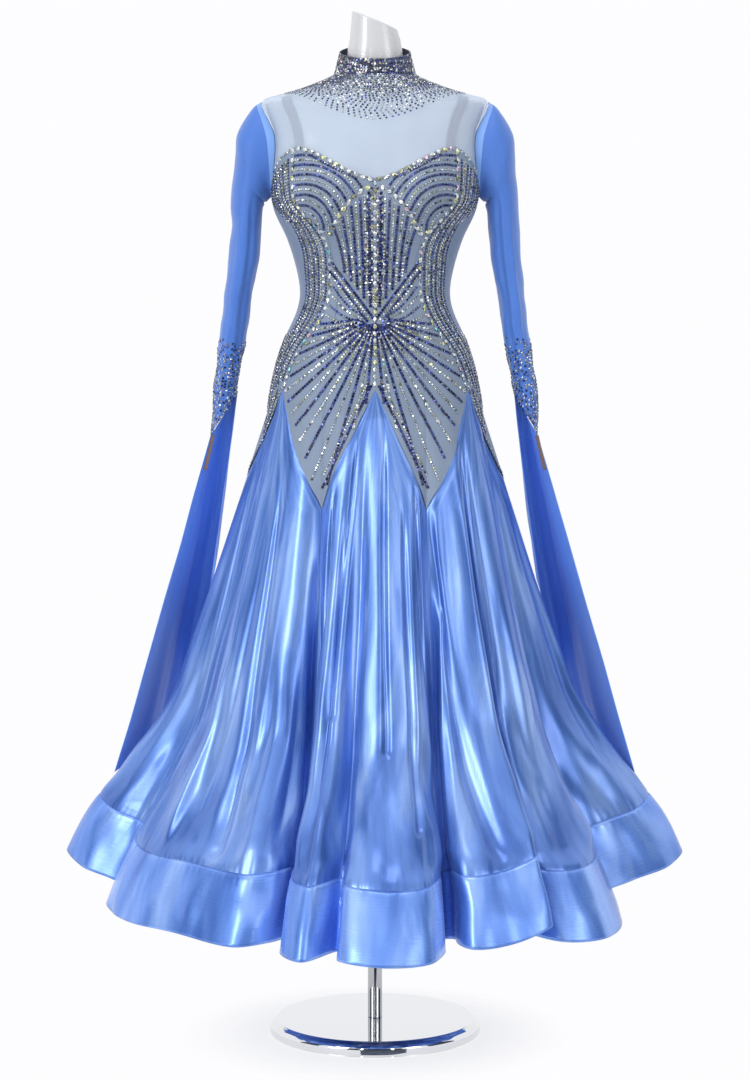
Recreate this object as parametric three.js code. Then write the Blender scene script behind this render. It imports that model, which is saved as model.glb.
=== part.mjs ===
// A ballroom dance dress on a limbless dress form with a chrome pole and round base.
//
// Millimetres, +Z up, the wearer faces -Y, the origin is the centre of the base's underside.
// Every place on the dress has two coordinates: `turn`, the angle in degrees round the body from
// centre front (0) past the +X side (90) to centre back (180), and the height z. surfaceAt(turn, z)
// gives the point: on the body above the hip line, on the fluted skirt below it. Each cloth piece
// is a wall between two offsets of that surface, cut to its own outline of turns and heights.
import * as THREE from "three";

// ---- Driving dimensions -------------------------------------------------------------------
const CLOTH_OFF = 4; // from the form's skin to the inside of the dress
const BODICE_WALL = 1.6; // stoned bodice, with its lining
const MESH_WALL = 1.2; // sheer stretch mesh of yoke and sleeves
const SATIN_WALL = 1.4; // skirt gores
const BAND_WALL = 2.2; // hem band with its stiffener
const FLOAT_WALL = 1.0;
const SEAM_INSET = 0.45; // how far a piece's edge stays inside its seam line
const SLANT_INSET = 1.1; // the same where the grid runs steeply into the seam line

const HIP_Z = 945; // the skirt leaves the body here
const FREE_Z = 700; // below this the cloth is centred on its surface
const APEX_Z = 983; // tops of the skirt gores
const POINT_Z = 809; // tips of the bodice between the gores
const BAND_START = 0.87; // where the hem band starts, as a share of the way from hip to hem

const NECK_Z = 1445; // neck seam
const COLLAR_FOOT_Z = 1451;
const SHOULDER_Z = 1407; // shoulder point
const ARMHOLE = { midZ: 1337, halfHeight: 70, halfTurn: 20 };
const UNDERBUST_Z = 1213; // lowest point of each cup
const BACK_TOP_Z = 1250; // top of the bodice at centre back

const FORM_FOOT_Z = 800;
const FORM_INSET = 1.8; // the form's skin inside the body surface that the dress is built on
const POLE_RADIUS = 11;
const BASE = { radius: 161, topRadius: 150, height: 22 };

// ---- Colours ------------------------------------------------------------------------------
const finish = (color, roughness, metalness = 0) =>
  new THREE.MeshStandardMaterial({ color, roughness, metalness });
const SATIN = finish(0x5c86dc, 0.3);
const BODICE = finish(0x8fa0bd, 0.5);
const YOKE = finish(0xc3d2ea, 0.6);
const SLEEVE = finish(0x4478d8, 0.55);
const COLLAR = finish(0x8a8fb4, 0.4);
const NUDE = finish(0x9a7468, 0.8);
const FORM = finish(0xf0f1f4, 0.25);
const CHROME = finish(0xd9dbe0, 0.08, 1);

// ---- Tables -------------------------------------------------------------------------------
// The form's sections: half width, depth in front, depth behind, and squareness (2 is an ellipse).
const BODY = [
  { z: 740, w: 128, front: 84, back: 92, square: 2.2 },
  { z: 800, w: 146, front: 92, back: 104, square: 2.2 },
  { z: 870, w: 156, front: 97, back: 115, square: 2.2 },
  { z: 945, w: 156, front: 99, back: 118, square: 2.2 },
  { z: 1005, w: 146, front: 97, back: 106, square: 2.2 },
  { z: 1050, w: 132, front: 93, back: 91, square: 2.2 },
  { z: 1095, w: 112, front: 87, back: 77, square: 2.2 },
  { z: 1125, w: 106.5, front: 84, back: 73, square: 2.2 },
  { z: 1162, w: 112, front: 86, back: 76, square: 2.25 },
  { z: 1207, w: 126, front: 94, back: 87, square: 2.35 },
  { z: 1252, w: 146, front: 101, back: 97, square: 2.6 },
  { z: 1300, w: 150, front: 97, back: 100, square: 2.8 },
  { z: 1356, w: 150, front: 86, back: 95, square: 2.8 },
  { z: 1385, w: 159, front: 76, back: 88, square: 2.6 },
  { z: 1400, w: 164, front: 70, back: 83, square: 2.5 },
  { z: 1407, w: 161, front: 66, back: 80, square: 2.45 },
  { z: 1416, w: 126, front: 60, back: 76, square: 2.35 },
  { z: 1424, w: 100, front: 54, back: 71, square: 2.3 },
  { z: 1437, w: 68, front: 44, back: 62, square: 2.2 },
  { z: 1445, w: 55, front: 38, back: 57, square: 2.1 },
  { z: 1460, w: 46, front: 33, back: 52, square: 2 },
  { z: 1485, w: 42, front: 32, back: 49, square: 2 },
  { z: 1515, w: 37, front: 29, back: 45, square: 2 },
  { z: 1545, w: 34, front: 27, back: 42, square: 2 },
];
const BUST = { x: 66, z: 1257, spreadX: 46, spreadZ: 40, height: 27 };

// The hem, gore by gore: each row is a ridge or a valley by its direction, radius and height.
// The first row of a gore lies on its seam; the next gore's first row ends it.
const HEM = [
  {
    gore: "centre_front",
    from: -25,
    folds: [
      { turn: -20.5, r: 325, z: 216 },
      { turn: -18.5, r: 412, z: 211 },
      { turn: -13, r: 450, z: 209 },
      { turn: -7.6, r: 392, z: 213 },
      { turn: -6.2, r: 442, z: 210 },
      { turn: 2, r: 462, z: 206 },
      { turn: 9.5, r: 450, z: 207 },
      { turn: 14, r: 402, z: 212 },
    ],
  },
  {
    gore: "right_front",
    from: 25,
    folds: [
      { turn: 16.5, r: 350, z: 219 },
      { turn: 20, r: 408, z: 214 },
      { turn: 29, r: 414, z: 219 },
      { turn: 37, r: 420, z: 238 },
      { turn: 35.5, r: 345, z: 222 },
      { turn: 41, r: 408, z: 208 },
      { turn: 50, r: 432, z: 207 },
      { turn: 62, r: 404, z: 216 },
      { turn: 69, r: 352, z: 234 },
      { turn: 77, r: 396, z: 252 },
      { turn: 84, r: 442, z: 264 },
      { turn: 91, r: 464, z: 282 },
    ],
  },
  {
    gore: "right_back",
    from: 100,
    folds: [
      { turn: 101, r: 402, z: 280 },
      { turn: 112, r: 380, z: 254 },
      { turn: 122, r: 440, z: 242 },
      { turn: 133, r: 378, z: 234 },
      { turn: 145, r: 442, z: 228 },
      { turn: 156, r: 376, z: 224 },
      { turn: 168, r: 440, z: 220 },
    ],
  },
  {
    gore: "left_back",
    from: 180,
    folds: [
      { turn: 180, r: 370, z: 222 },
      { turn: 193, r: 442, z: 221 },
      { turn: 205, r: 378, z: 224 },
      { turn: 217, r: 438, z: 228 },
      { turn: 229, r: 374, z: 234 },
      { turn: 240, r: 444, z: 242 },
      { turn: 250, r: 386, z: 254 },
    ],
  },
  {
    gore: "left_front",
    from: 260,
    folds: [
      { turn: 259, r: 408, z: 280 },
      { turn: 269, r: 467, z: 282 },
      { turn: 276, r: 444, z: 264 },
      { turn: 281.5, r: 392, z: 244 },
      { turn: 287, r: 414, z: 224 },
      { turn: 299, r: 416, z: 216 },
      { turn: 314, r: 404, z: 216 },
      { turn: 330, r: 404, z: 210 },
      { turn: 336, r: 374, z: 214 },
    ],
  },
];
const POINTS = [-25, 25, 100, 180, 260]; // turns of the bodice tips and the gore seams
const APEXES = { centre_front: 0, right_front: 60, right_back: 140, left_back: 220, left_front: 300 };

// The sleeve above the elbow turns from the armhole to the hanging arm. Each row is a section
// from its underarm point (x, z) for a length along a direction that sinks from upright to level.
const SLEEVE_CAP = [
  { x: 155, z: 1266.5, rise: 78, length: 133, halfDepth: 47 },
  { x: 160.5, z: 1261, rise: 66, length: 108.5, halfDepth: 49 },
  { x: 163, z: 1257.5, rise: 58, length: 84.5, halfDepth: 48 },
  { x: 165, z: 1254, rise: 48, length: 66.5, halfDepth: 46 },
  { x: 167, z: 1249, rise: 34, length: 55, halfDepth: 45 },
  { x: 168.5, z: 1242, rise: 14, length: 47, halfDepth: 44 },
];
// Below it each row is a level oval: inner and outer edge, half depth, and how far its outer side
// hangs lower than its middle.
const SLEEVE_ARM = [
  { z: 1225, inner: 169, outer: 214, halfDepth: 43, drop: 0 },
  { z: 1180, inner: 173, outer: 218.5, halfDepth: 41, drop: 0 },
  { z: 1130, inner: 181, outer: 224, halfDepth: 39, drop: 0 },
  { z: 1080, inner: 189, outer: 229, halfDepth: 37, drop: 0 },
  { z: 1030, inner: 197.5, outer: 236, halfDepth: 34, drop: 3 },
  { z: 985, inner: 204.5, outer: 243, halfDepth: 31, drop: 14 },
  { z: 944, inner: 208, outer: 245, halfDepth: 28, drop: 30 },
];
// The free edge of a wing sleeve, from its long outer tip past the back to the short inner corner.
const WING_EDGE = [
  { x: 395, y: 10, z: 398 },
  { x: 352, y: 104, z: 424 },
  { x: 306, y: 156, z: 510 },
  { x: 268, y: 112, z: 606 },
  { x: 245, y: 24, z: 694 },
];
// A strap's route over the shoulder.
const STRAP = [
  { turn: 40, z: 1322 },
  { turn: 41.5, z: 1345 },
  { turn: 43.5, z: 1372 },
  { turn: 46, z: 1394 },
  { turn: 51, z: 1407 },
  { turn: 66, z: 1412.5 },
  { turn: 90, z: 1414.5 },
  { turn: 114, z: 1412.5 },
  { turn: 129, z: 1405 },
  { turn: 135, z: 1385 },
  { turn: 138, z: 1350 },
  { turn: 141, z: 1300 },
];
const STRAP_WIDTH = 14;
const STRAP_STEPS = 30;

// ---- Curves -------------------------------------------------------------------------------
const radians = THREE.MathUtils.degToRad;
const lerp = THREE.MathUtils.lerp;
const V = (x, y, z) => new THREE.Vector3(x, y, z);
const steps = (n) => Array.from({ length: n + 1 }, (_, i) => i / n);

// A smooth curve through (at[i], value[i]), with each slope taken from the two neighbours.
function smooth(at, value, x) {
  let i = at.findIndex((a) => a > x) - 1;
  if (i === -2) i = at.length - 2;
  i = Math.max(0, Math.min(at.length - 2, i));
  const slope = (k) => {
    const a = Math.max(0, k - 1);
    const b = Math.min(at.length - 1, k + 1);
    return (value[b] - value[a]) / (at[b] - at[a]);
  };
  const span = at[i + 1] - at[i];
  const t = THREE.MathUtils.clamp((x - at[i]) / span, 0, 1);
  const t2 = t * t;
  const t3 = t2 * t;
  return (
    (2 * t3 - 3 * t2 + 1) * value[i] +
    (t3 - 2 * t2 + t) * span * slope(i) +
    (3 * t2 - 2 * t3) * value[i + 1] +
    (t3 - t2) * span * slope(i + 1)
  );
}
const column = (rows, key) => rows.map((row) => row[key]);
const along = (rows, key, by, x) => smooth(column(rows, by), column(rows, key), x);

// ---- The body -----------------------------------------------------------------------------
const power = (v, p) => Math.sign(v) * Math.abs(v) ** p;

function skinAt(turn, z) {
  const at = (key) => along(BODY, key, "z", z);
  const exponent = 2 / at("square");
  const side = Math.sin(radians(turn));
  const ahead = Math.cos(radians(turn));
  const x = at("w") * power(side, exponent);
  const y = -(ahead > 0 ? at("front") : at("back")) * power(ahead, exponent);
  const across = (Math.abs(x) - BUST.x) / BUST.spreadX;
  const up = (z - BUST.z) / (z > BUST.z ? BUST.spreadZ * 1.25 : BUST.spreadZ);
  const bust = ahead > 0 ? BUST.height * Math.exp(-across * across - up * up) * Math.min(1, 3 * ahead) : 0;
  return V(x, y - bust, z);
}

// ---- The hem and the skirt ------------------------------------------------------------------
// Control points of the hem with the turn at the hip that each hangs from, spread within a gore
// by the length of cloth between them.
function hemControls() {
  const point = (f) => V(f.r * Math.sin(radians(f.turn)), -f.r * Math.cos(radians(f.turn)), f.z);
  const made = [];
  HEM.forEach((gore, g) => {
    const next = HEM[(g + 1) % HEM.length];
    const end = g + 1 < HEM.length ? next.from : next.from + 360;
    const points = [...gore.folds.map(point), point(next.folds[0])];
    const lengths = [0];
    for (let i = 1; i < points.length; i++) lengths.push(lengths[i - 1] + points[i].distanceTo(points[i - 1]));
    gore.folds.forEach((_, i) => {
      const hip = lerp(gore.from, end, lengths[i] / lengths.at(-1));
      made.push({ hip, x: points[i].x, y: points[i].y, z: points[i].z });
    });
  });
  const wrap = (p, by) => ({ ...p, hip: p.hip + by });
  return [...made.slice(-3).map((p) => wrap(p, -360)), ...made, ...made.slice(0, 3).map((p) => wrap(p, 360))];
}
const HEM_CONTROLS = hemControls();

function hemAt(turn) {
  const hip = THREE.MathUtils.euclideanModulo(turn + 25, 360) - 25;
  return V(...["x", "y", "z"].map((key) => along(HEM_CONTROLS, key, "hip", hip)));
}

// The skirt is close to a cone that opens faster between three fifths of its fall and the hem.
const flare = (fall) => 0.74 * fall + 0.26 * THREE.MathUtils.smoothstep(fall, 0.6, 1);

function skirtAt(turn, z) {
  const hip = skinAt(turn, HIP_Z);
  const hem = hemAt(turn);
  const out = flare((HIP_Z - z) / (HIP_Z - hem.z));
  return V(lerp(hip.x, hem.x, out), lerp(hip.y, hem.y, out), z);
}
const surfaceAt = (turn, z) => (z >= HIP_Z ? skinAt(turn, z) : skirtAt(turn, z));

// The point of a surface at (turn, z), moved out along its normal.
function lifted(surface, turn, z, by) {
  const acrossIt = surface(turn + 0.4, z).sub(surface(turn - 0.4, z));
  const upIt = surface(turn, z + 0.6).sub(surface(turn, z - 0.6));
  return surface(turn, z).addScaledVector(acrossIt.cross(upIt).normalize(), by);
}

// ---- Solids -------------------------------------------------------------------------------
function geometryOf(points, triangles) {
  let volume = 0;
  for (const [a, b, c] of triangles) volume += points[a].dot(points[b].clone().cross(points[c]));
  const faces = volume < 0 ? triangles.map(([a, b, c]) => [a, c, b]) : triangles;
  const geometry = new THREE.BufferGeometry();
  geometry.setAttribute("position", new THREE.Float32BufferAttribute(points.flatMap((p) => p.toArray()), 3));
  geometry.setIndex(faces.flat());
  geometry.computeVertexNormals();
  return geometry;
}

// A closed wall from two grids of points, [row][column]. A ringed wall joins its last column to
// its first.
function wallGeometry(inner, outer, ringed = false) {
  const rows = inner.length;
  const columns = inner[0].length;
  const points = [...outer.flat(), ...inner.flat()];
  const out = (r, c) => r * columns + (c % columns);
  const into = (r, c) => rows * columns + out(r, c);
  const triangles = [];
  const quad = (a, b, c, d) => triangles.push([a, b, c], [a, c, d]);
  const spans = ringed ? columns : columns - 1;
  for (let r = 0; r < rows - 1; r++)
    for (let c = 0; c < spans; c++) {
      quad(out(r, c), out(r + 1, c), out(r + 1, c + 1), out(r, c + 1));
      quad(into(r, c), into(r, c + 1), into(r + 1, c + 1), into(r + 1, c));
    }
  for (let c = 0; c < spans; c++) {
    quad(out(0, c), out(0, c + 1), into(0, c + 1), into(0, c));
    quad(out(rows - 1, c + 1), out(rows - 1, c), into(rows - 1, c), into(rows - 1, c + 1));
  }
  if (!ringed)
    for (let r = 0; r < rows - 1; r++) {
      quad(out(r + 1, 0), out(r, 0), into(r, 0), into(r + 1, 0));
      quad(out(r, columns - 1), out(r + 1, columns - 1), into(r + 1, columns - 1), into(r, columns - 1));
    }
  return geometryOf(points, triangles);
}

// A solid through rings of points, closed by a fan at each end.
function ringSolid(rings) {
  const count = rings[0].length;
  const middle = (ring) => ring.reduce((sum, p) => sum.add(p), V(0, 0, 0)).divideScalar(count);
  const points = [...rings.flat(), middle(rings[0]), middle(rings.at(-1))];
  const first = rings.length * count;
  const triangles = [];
  for (let c = 0; c < count; c++) {
    const d = (c + 1) % count;
    for (let r = 0; r < rings.length - 1; r++) {
      const [a, b] = [r * count, (r + 1) * count];
      triangles.push([a + c, a + d, b + d], [a + c, b + d, b + c]);
    }
    const last = (rings.length - 1) * count;
    triangles.push([first, d, c], [first + 1, last + c, last + d]);
  }
  return geometryOf(points, triangles);
}

const dress = new THREE.Group();
function add(name, geometry, material) {
  const mesh = new THREE.Mesh(geometry, material);
  mesh.name = name;
  dress.add(mesh);
}

// Moves the outermost row or column of a grid towards its neighbour, which opens the seam.
function inset(grid, { top = 0, bottom = 0, start = 0, end = 0 }) {
  const towards = (p, q, by) => p.addScaledVector(q.clone().sub(p).normalize(), by);
  const columns = grid[0].length;
  for (const row of grid) {
    const [second, beforeLast] = [row[1].clone(), row[columns - 2].clone()];
    if (start) towards(row[0], second, start);
    if (end) towards(row[columns - 1], beforeLast, end);
  }
  const [under, above] = [grid[1].map((p) => p.clone()), grid.at(-2).map((p) => p.clone())];
  if (top) grid[0].forEach((p, c) => towards(p, under[c], top));
  if (bottom) grid.at(-1).forEach((p, c) => towards(p, above[c], bottom));
}

// From the surface to the inside of the cloth: clear of the form above, on the surface below.
function clothOffset(z, wallThickness) {
  const fall = THREE.MathUtils.clamp((HIP_Z - z) / (HIP_Z - FREE_Z), 0, 1);
  return lerp(CLOTH_OFF, -wallThickness / 2, fall);
}
// A cloth piece on the dress's surface. place(u, v) gives its turn and height, u across and v down.
function clothPiece(name, place, across, down, wallThickness, material, seams, surface = surfaceAt) {
  const grid = (by) => {
    const made = down.map((v) =>
      across.map((u) => {
        const { turn, z } = place(u, v);
        return lifted(surface, turn, z, clothOffset(z, wallThickness) + by);
      }),
    );
    inset(made, seams);
    return made;
  };
  add(name, wallGeometry(grid(0), grid(wallThickness)), material);
}
const between = (a, b, t) => ({ turn: lerp(a.turn, b.turn, t), z: lerp(a.z, b.z, t) });

// ---- Style lines of the bodice ----------------------------------------------------------------
// The armhole, by the angle round it from its top past the front. side is 1 for +X, -1 for -X.
const armholeAt = (angle, shrink = 0) => ({
  turn: 90 - (ARMHOLE.halfTurn - shrink / 2.6) * Math.sin(radians(angle)),
  z: ARMHOLE.midZ + (ARMHOLE.halfHeight - shrink) * Math.cos(radians(angle)),
});
// Upper edge of the bodice, from centre front to the armhole, and the lower edge of a cup.
const SWEETHEART = [
  { turn: 0, z: 1291 },
  { turn: 8, z: 1301 },
  { turn: 17, z: 1316 },
  { turn: 27, z: 1329 },
  { turn: 37, z: 1336 },
  { turn: 46, z: 1336 },
  { turn: 60, z: 1322 },
  { turn: armholeAt(120).turn, z: armholeAt(120).z },
];
const UNDERCUP = [
  { turn: 0, z: 1280 },
  { turn: 8, z: 1262 },
  { turn: 17, z: 1238 },
  { turn: 25, z: 1216 },
  { turn: 28, z: UNDERBUST_Z },
  { turn: 35, z: 1226 },
  { turn: 46, z: 1262 },
];
// The princess line, from the cup's outer top to the top of the side gore.
const PRINCESS = [
  { z: 1336, turn: 46 },
  { z: 1262, turn: 46 },
  { z: 1226, turn: 34.5 },
  { z: 1190, turn: 30.5 },
  { z: 1150, turn: 33.5 },
  { z: 1110, turn: 36.5 },
  { z: 1072, turn: 43 },
  { z: 1035, turn: 53 },
  { z: APEX_Z, turn: 60 },
];
const sweetheartZ = (turn) => along(SWEETHEART, "z", "turn", turn);
const undercupZ = (turn) => along(UNDERCUP, "z", "turn", turn);
const CUP_COLUMNS = 8;
const CUP_TURN = 46; // where a cup meets its side panel
const CUP_FOOT_TURN = (CUP_TURN * 6) / CUP_COLUMNS; // where the princess line leaves the cup
const CENTRE_TOP_TURN = (CUP_TURN * 5) / CUP_COLUMNS; // where the centre seam leaves the cup
const PANEL_ROWS = [0, 0.07, 0.16, 0.3, 0.48, 0.66, 0.83, 1];

// The princess line below the cup and the centre seam, from the cup (v = 0) to the skirt (v = 1).
function princessAt(v) {
  const z = lerp(undercupZ(CUP_FOOT_TURN), APEX_Z, v);
  return { turn: along([...PRINCESS].reverse(), "turn", "z", z), z };
}
const centreSeamAt = (v) => ({
  turn: lerp(CENTRE_TOP_TURN, POINTS[1], v),
  z: lerp(undercupZ(CENTRE_TOP_TURN), POINT_Z, v),
});
// The side panel's front edge: down the cup's outer edge, round its corner, then the princess line.
const SIDE_FRONT = [
  { turn: CUP_TURN, z: 1336 },
  { turn: CUP_TURN, z: 1299 },
  { turn: CUP_TURN, z: undercupZ(CUP_TURN) },
  { turn: (CUP_TURN * 7) / CUP_COLUMNS, z: undercupZ((CUP_TURN * 7) / CUP_COLUMNS) },
  ...PANEL_ROWS.map(princessAt),
];
const SIDE_ROWS = SIDE_FRONT.length - 1;

const mirrored = (side, place) => (u, v) => {
  const p = place(u, v);
  return { turn: side * p.turn, z: p.z };
};
const SIDES = [
  { name: "right", side: 1 },
  { name: "left", side: -1 },
];
const allRound = { top: SEAM_INSET, bottom: SEAM_INSET, start: SEAM_INSET, end: SEAM_INSET };

// ---- Bodice, yoke and collar --------------------------------------------------------------------
clothPiece(
  "bodice_centre_front",
  (u, v) => {
    const share = Math.abs(2 * u - 1);
    const top = undercupZ(share * CENTRE_TOP_TURN);
    const z = lerp(top, lerp(APEX_Z, POINT_Z, share), v);
    return { turn: (2 * u - 1) * centreSeamAt(v).turn, z };
  },
  steps(10),
  PANEL_ROWS,
  BODICE_WALL,
  BODICE,
  { ...allRound, top: SLANT_INSET, bottom: SLANT_INSET },
);

const NECK_ROWS = [NECK_Z, 1433, 1420, SHOULDER_Z];
// A yoke row by the height where it meets the armhole: level over the shoulder, then spread
// down to the yoke's own lower edge.
function yokeZ(rimZ, lowest, foot) {
  if (rimZ >= SHOULDER_Z) return rimZ;
  return lerp(SHOULDER_Z, foot, (SHOULDER_Z - rimZ) / (SHOULDER_Z - lowest));
}
for (const { name, side } of SIDES) {
  clothPiece(
    `cup_${name}`,
    mirrored(side, (u, v) => {
      const turn = lerp(0, CUP_TURN, u);
      return { turn, z: lerp(sweetheartZ(turn), undercupZ(turn), v) };
    }),
    steps(CUP_COLUMNS),
    steps(4),
    BODICE_WALL,
    BODICE,
    { ...allRound, top: 0.6, bottom: 0.8 },
  );
  clothPiece(
    `bodice_hip_${name}`,
    mirrored(side, (u, v) => between(centreSeamAt(v), princessAt(v), u)),
    steps(5),
    PANEL_ROWS,
    BODICE_WALL,
    BODICE,
    { ...allRound, top: 0.8, bottom: SLANT_INSET },
  );
  const sideTop = [
    { turn: CUP_TURN, z: 1336 },
    { turn: 60, z: 1322 },
    armholeAt(120),
    armholeAt(150),
    armholeAt(180),
    armholeAt(210),
  ];
  clothPiece(
    `bodice_side_${name}`,
    mirrored(side, (u, v) => {
      const back = { turn: POINTS[2], z: lerp(armholeAt(210).z, POINT_Z, v / SIDE_ROWS) };
      const straight = between(SIDE_FRONT[v], back, u);
      const rim = sideTop[Math.round(u * 5)];
      const chord = between(sideTop[0], sideTop[5], u);
      const fade = (1 - v / SIDE_ROWS) ** 2.4;
      return {
        turn: straight.turn + fade * (rim.turn - chord.turn),
        z: straight.z + fade * (rim.z - chord.z),
      };
    }),
    steps(5),
    SIDE_FRONT.map((_, i) => i),
    BODICE_WALL,
    BODICE,
    { ...allRound, top: 0.6, bottom: SLANT_INSET },
  );
  clothPiece(
    `bodice_back_${name}`,
    mirrored(side, (u, v) => {
      const turn = lerp(POINTS[2], POINTS[3], u);
      const foot = lerp(POINT_Z, APEX_Z, 1 - Math.abs(2 * u - 1));
      return { turn, z: lerp(lerp(armholeAt(210).z, BACK_TOP_Z, u), foot, v) };
    }),
    steps(10),
    steps(SIDE_ROWS),
    BODICE_WALL,
    BODICE,
    { ...allRound, top: 0.6, bottom: SLANT_INSET },
  );
  const backRows = [...NECK_ROWS, ...[30, 60, 90, 120, 150].map((a) => armholeAt(a).z)];
  const lowestBack = armholeAt(150).z;
  clothPiece(
    `yoke_back_${name}`,
    mirrored(side, (u, v) => {
      const rimZ = backRows[v];
      const edge = rimZ >= SHOULDER_Z ? 90 : 180 - armholeTurn(rimZ);
      const z = yokeZ(rimZ, lowestBack, lerp(lowestBack, BACK_TOP_Z, u));
      return { turn: lerp(edge, 180, u), z };
    }),
    steps(7),
    backRows.map((_, i) => i),
    MESH_WALL,
    YOKE,
    { ...allRound, top: 0.5, bottom: 0.6 },
  );
}

// The turn of the armhole's front edge at a height; its back edge mirrors it about the side.
function armholeTurn(z) {
  const up = THREE.MathUtils.clamp((z - ARMHOLE.midZ) / ARMHOLE.halfHeight, -1, 1);
  return 90 - ARMHOLE.halfTurn * Math.sqrt(1 - up * up);
}

const FRONT_ROWS = [...NECK_ROWS, ...[30, 60, 90, 120].map((a) => armholeAt(a).z)];
const yokeHalf = [...steps(CUP_COLUMNS).map((u) => u * CUP_TURN), 60, armholeAt(120).turn];
const YOKE_COLUMNS = [...yokeHalf.slice(1).reverse().map((turn) => -turn), ...yokeHalf].map(
  (turn) => turn / armholeAt(120).turn,
);
clothPiece(
  "yoke_front",
  (across, v) => {
    const rimZ = FRONT_ROWS[v];
    const foot = sweetheartZ(Math.abs(across) * armholeAt(120).turn);
    const edge = rimZ >= SHOULDER_Z ? 90 : armholeTurn(rimZ);
    return { turn: across * edge, z: yokeZ(rimZ, armholeAt(120).z, foot) };
  },
  YOKE_COLUMNS,
  FRONT_ROWS.map((_, i) => i),
  MESH_WALL,
  YOKE,
  { ...allRound, top: 0.5, bottom: 0.9 },
);

const collarTop = (turn) => 1480 - 13 * Math.cos(radians(turn));
function collarAt(turn, z) {
  const seam = skinAt(turn, NECK_Z);
  const narrowing = 1 - (0.16 * (z - NECK_Z)) / 35;
  return V(seam.x * narrowing, seam.y * narrowing + 0.05 * (z - NECK_Z), z);
}
clothPiece(
  "collar",
  (u, v) => {
    const turn = lerp(-180, 180, u);
    return { turn, z: lerp(collarTop(turn), COLLAR_FOOT_Z, v) };
  },
  steps(20),
  steps(2),
  BODICE_WALL,
  COLLAR,
  allRound,
  collarAt,
);

// ---- Straps under the yoke --------------------------------------------------------------------
const strapAt = (t) => {
  const at = STRAP.map((_, i) => i / (STRAP.length - 1));
  return { turn: smooth(at, column(STRAP, "turn"), t), z: smooth(at, column(STRAP, "z"), t) };
};
function strapGrid(side, by) {
  return steps(STRAP_STEPS).map((t) => {
    const { turn, z } = strapAt(t);
    const [before, after] = [strapAt(Math.max(0, t - 0.01)), strapAt(Math.min(1, t + 0.01))];
    const run = skinAt(after.turn, after.z).sub(skinAt(before.turn, before.z)).normalize();
    const perTurn = skinAt(turn + 0.5, z).sub(skinAt(turn - 0.5, z));
    const perZ = skinAt(turn, z + 0.5).sub(skinAt(turn, z - 0.5));
    const normal = perTurn.clone().cross(perZ);
    const across = run.clone().cross(normal).setLength(STRAP_WIDTH / 2);
    // The step in turn and height that moves a point of the skin by `across`.
    const scale = normal.lengthSq();
    const turnStep = across.clone().cross(perZ).dot(normal) / scale;
    const zStep = perTurn.clone().cross(across).dot(normal) / scale;
    return [-1, 1].map((edge) => lifted(skinAt, side * (turn + edge * turnStep), z + edge * zStep, by));
  });
}
for (const { name, side } of SIDES)
  add(`strap_${name}`, wallGeometry(strapGrid(side, -0.1), strapGrid(side, 0.8)), NUDE);

// ---- Skirt gores and hem bands ------------------------------------------------------------------
const bandZ = (turn) => lerp(HIP_Z, hemAt(turn).z, BAND_START);
HEM.forEach(({ gore, from }, g) => {
  const to = g + 1 < HEM.length ? HEM[g + 1].from : HEM[0].from + 360;
  const apex = APEXES[gore];
  const columns = gore === "right_front" ? 15 : 12;
  const upper = [0.02, 0.2, 0.4, 0.6, 0.8, 1];
  const lower = steps(5).slice(1).map((t) => 1 + t);
  clothPiece(
    `gore_${gore}`,
    (u, v) => {
      const widening = Math.min(v, 1);
      const turn = lerp(apex, lerp(from, to, u), widening);
      if (v <= 1) return { turn, z: lerp(APEX_Z, POINT_Z, v) };
      return { turn, z: lerp(POINT_Z, bandZ(turn), v - 1) };
    },
    steps(columns),
    [...upper, ...lower],
    SATIN_WALL,
    SATIN,
    { start: 0.6, end: 0.6, bottom: 0.85 },
  );
  clothPiece(
    `hem_band_${gore}`,
    (u, v) => {
      const turn = lerp(from, to, u);
      return { turn, z: lerp(bandZ(turn), hemAt(turn).z, v) };
    },
    steps(columns),
    steps(1),
    BAND_WALL,
    SATIN,
    { start: 1.1, end: 1.1, top: 0.8 },
  );
});

// ---- Sleeves ----------------------------------------------------------------------------------
const SECTION_ANGLES = Array.from({ length: 12 }, (_, i) => i * 30);
// A section's point by its angle from the top or outer side (0) past the front (90).
function capPoint(row, angle, by) {
  const direction = V(Math.cos(radians(row.rise)), 0, Math.sin(radians(row.rise)));
  const reach = (row.length / 2) * (1 + Math.cos(radians(angle))) + by * Math.cos(radians(angle));
  return V(row.x, -(row.halfDepth + by) * Math.sin(radians(angle)), row.z).addScaledVector(direction, reach);
}
function armPoint(row, angle, by) {
  const middle = (row.inner + row.outer) / 2;
  const half = (row.outer - row.inner) / 2;
  return V(
    middle + (half + by) * Math.cos(radians(angle)),
    -(row.halfDepth + by) * Math.sin(radians(angle)),
    row.z - row.drop * Math.cos(radians(angle)),
  );
}
function sleeveRings(by) {
  const armholeRing = SECTION_ANGLES.map((angle) => {
    const { turn, z } = armholeAt(angle, 2.2 - by);
    return lifted(skinAt, turn, z, CLOTH_OFF + 0.8);
  });
  return [
    armholeRing,
    ...SLEEVE_CAP.map((row) => SECTION_ANGLES.map((angle) => capPoint(row, angle, by))),
    ...SLEEVE_ARM.map((row) => SECTION_ANGLES.map((angle) => armPoint(row, angle, by))),
  ];
}
const flip = (grid, side) => grid.map((row) => row.map((p) => V(side * p.x, p.y, p.z)));
const halfMesh = MESH_WALL / 2;
for (const { name, side } of SIDES)
  add(
    `sleeve_${name}`,
    wallGeometry(flip(sleeveRings(-halfMesh), side), flip(sleeveRings(halfMesh), side), true),
    SLEEVE,
  );

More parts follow.
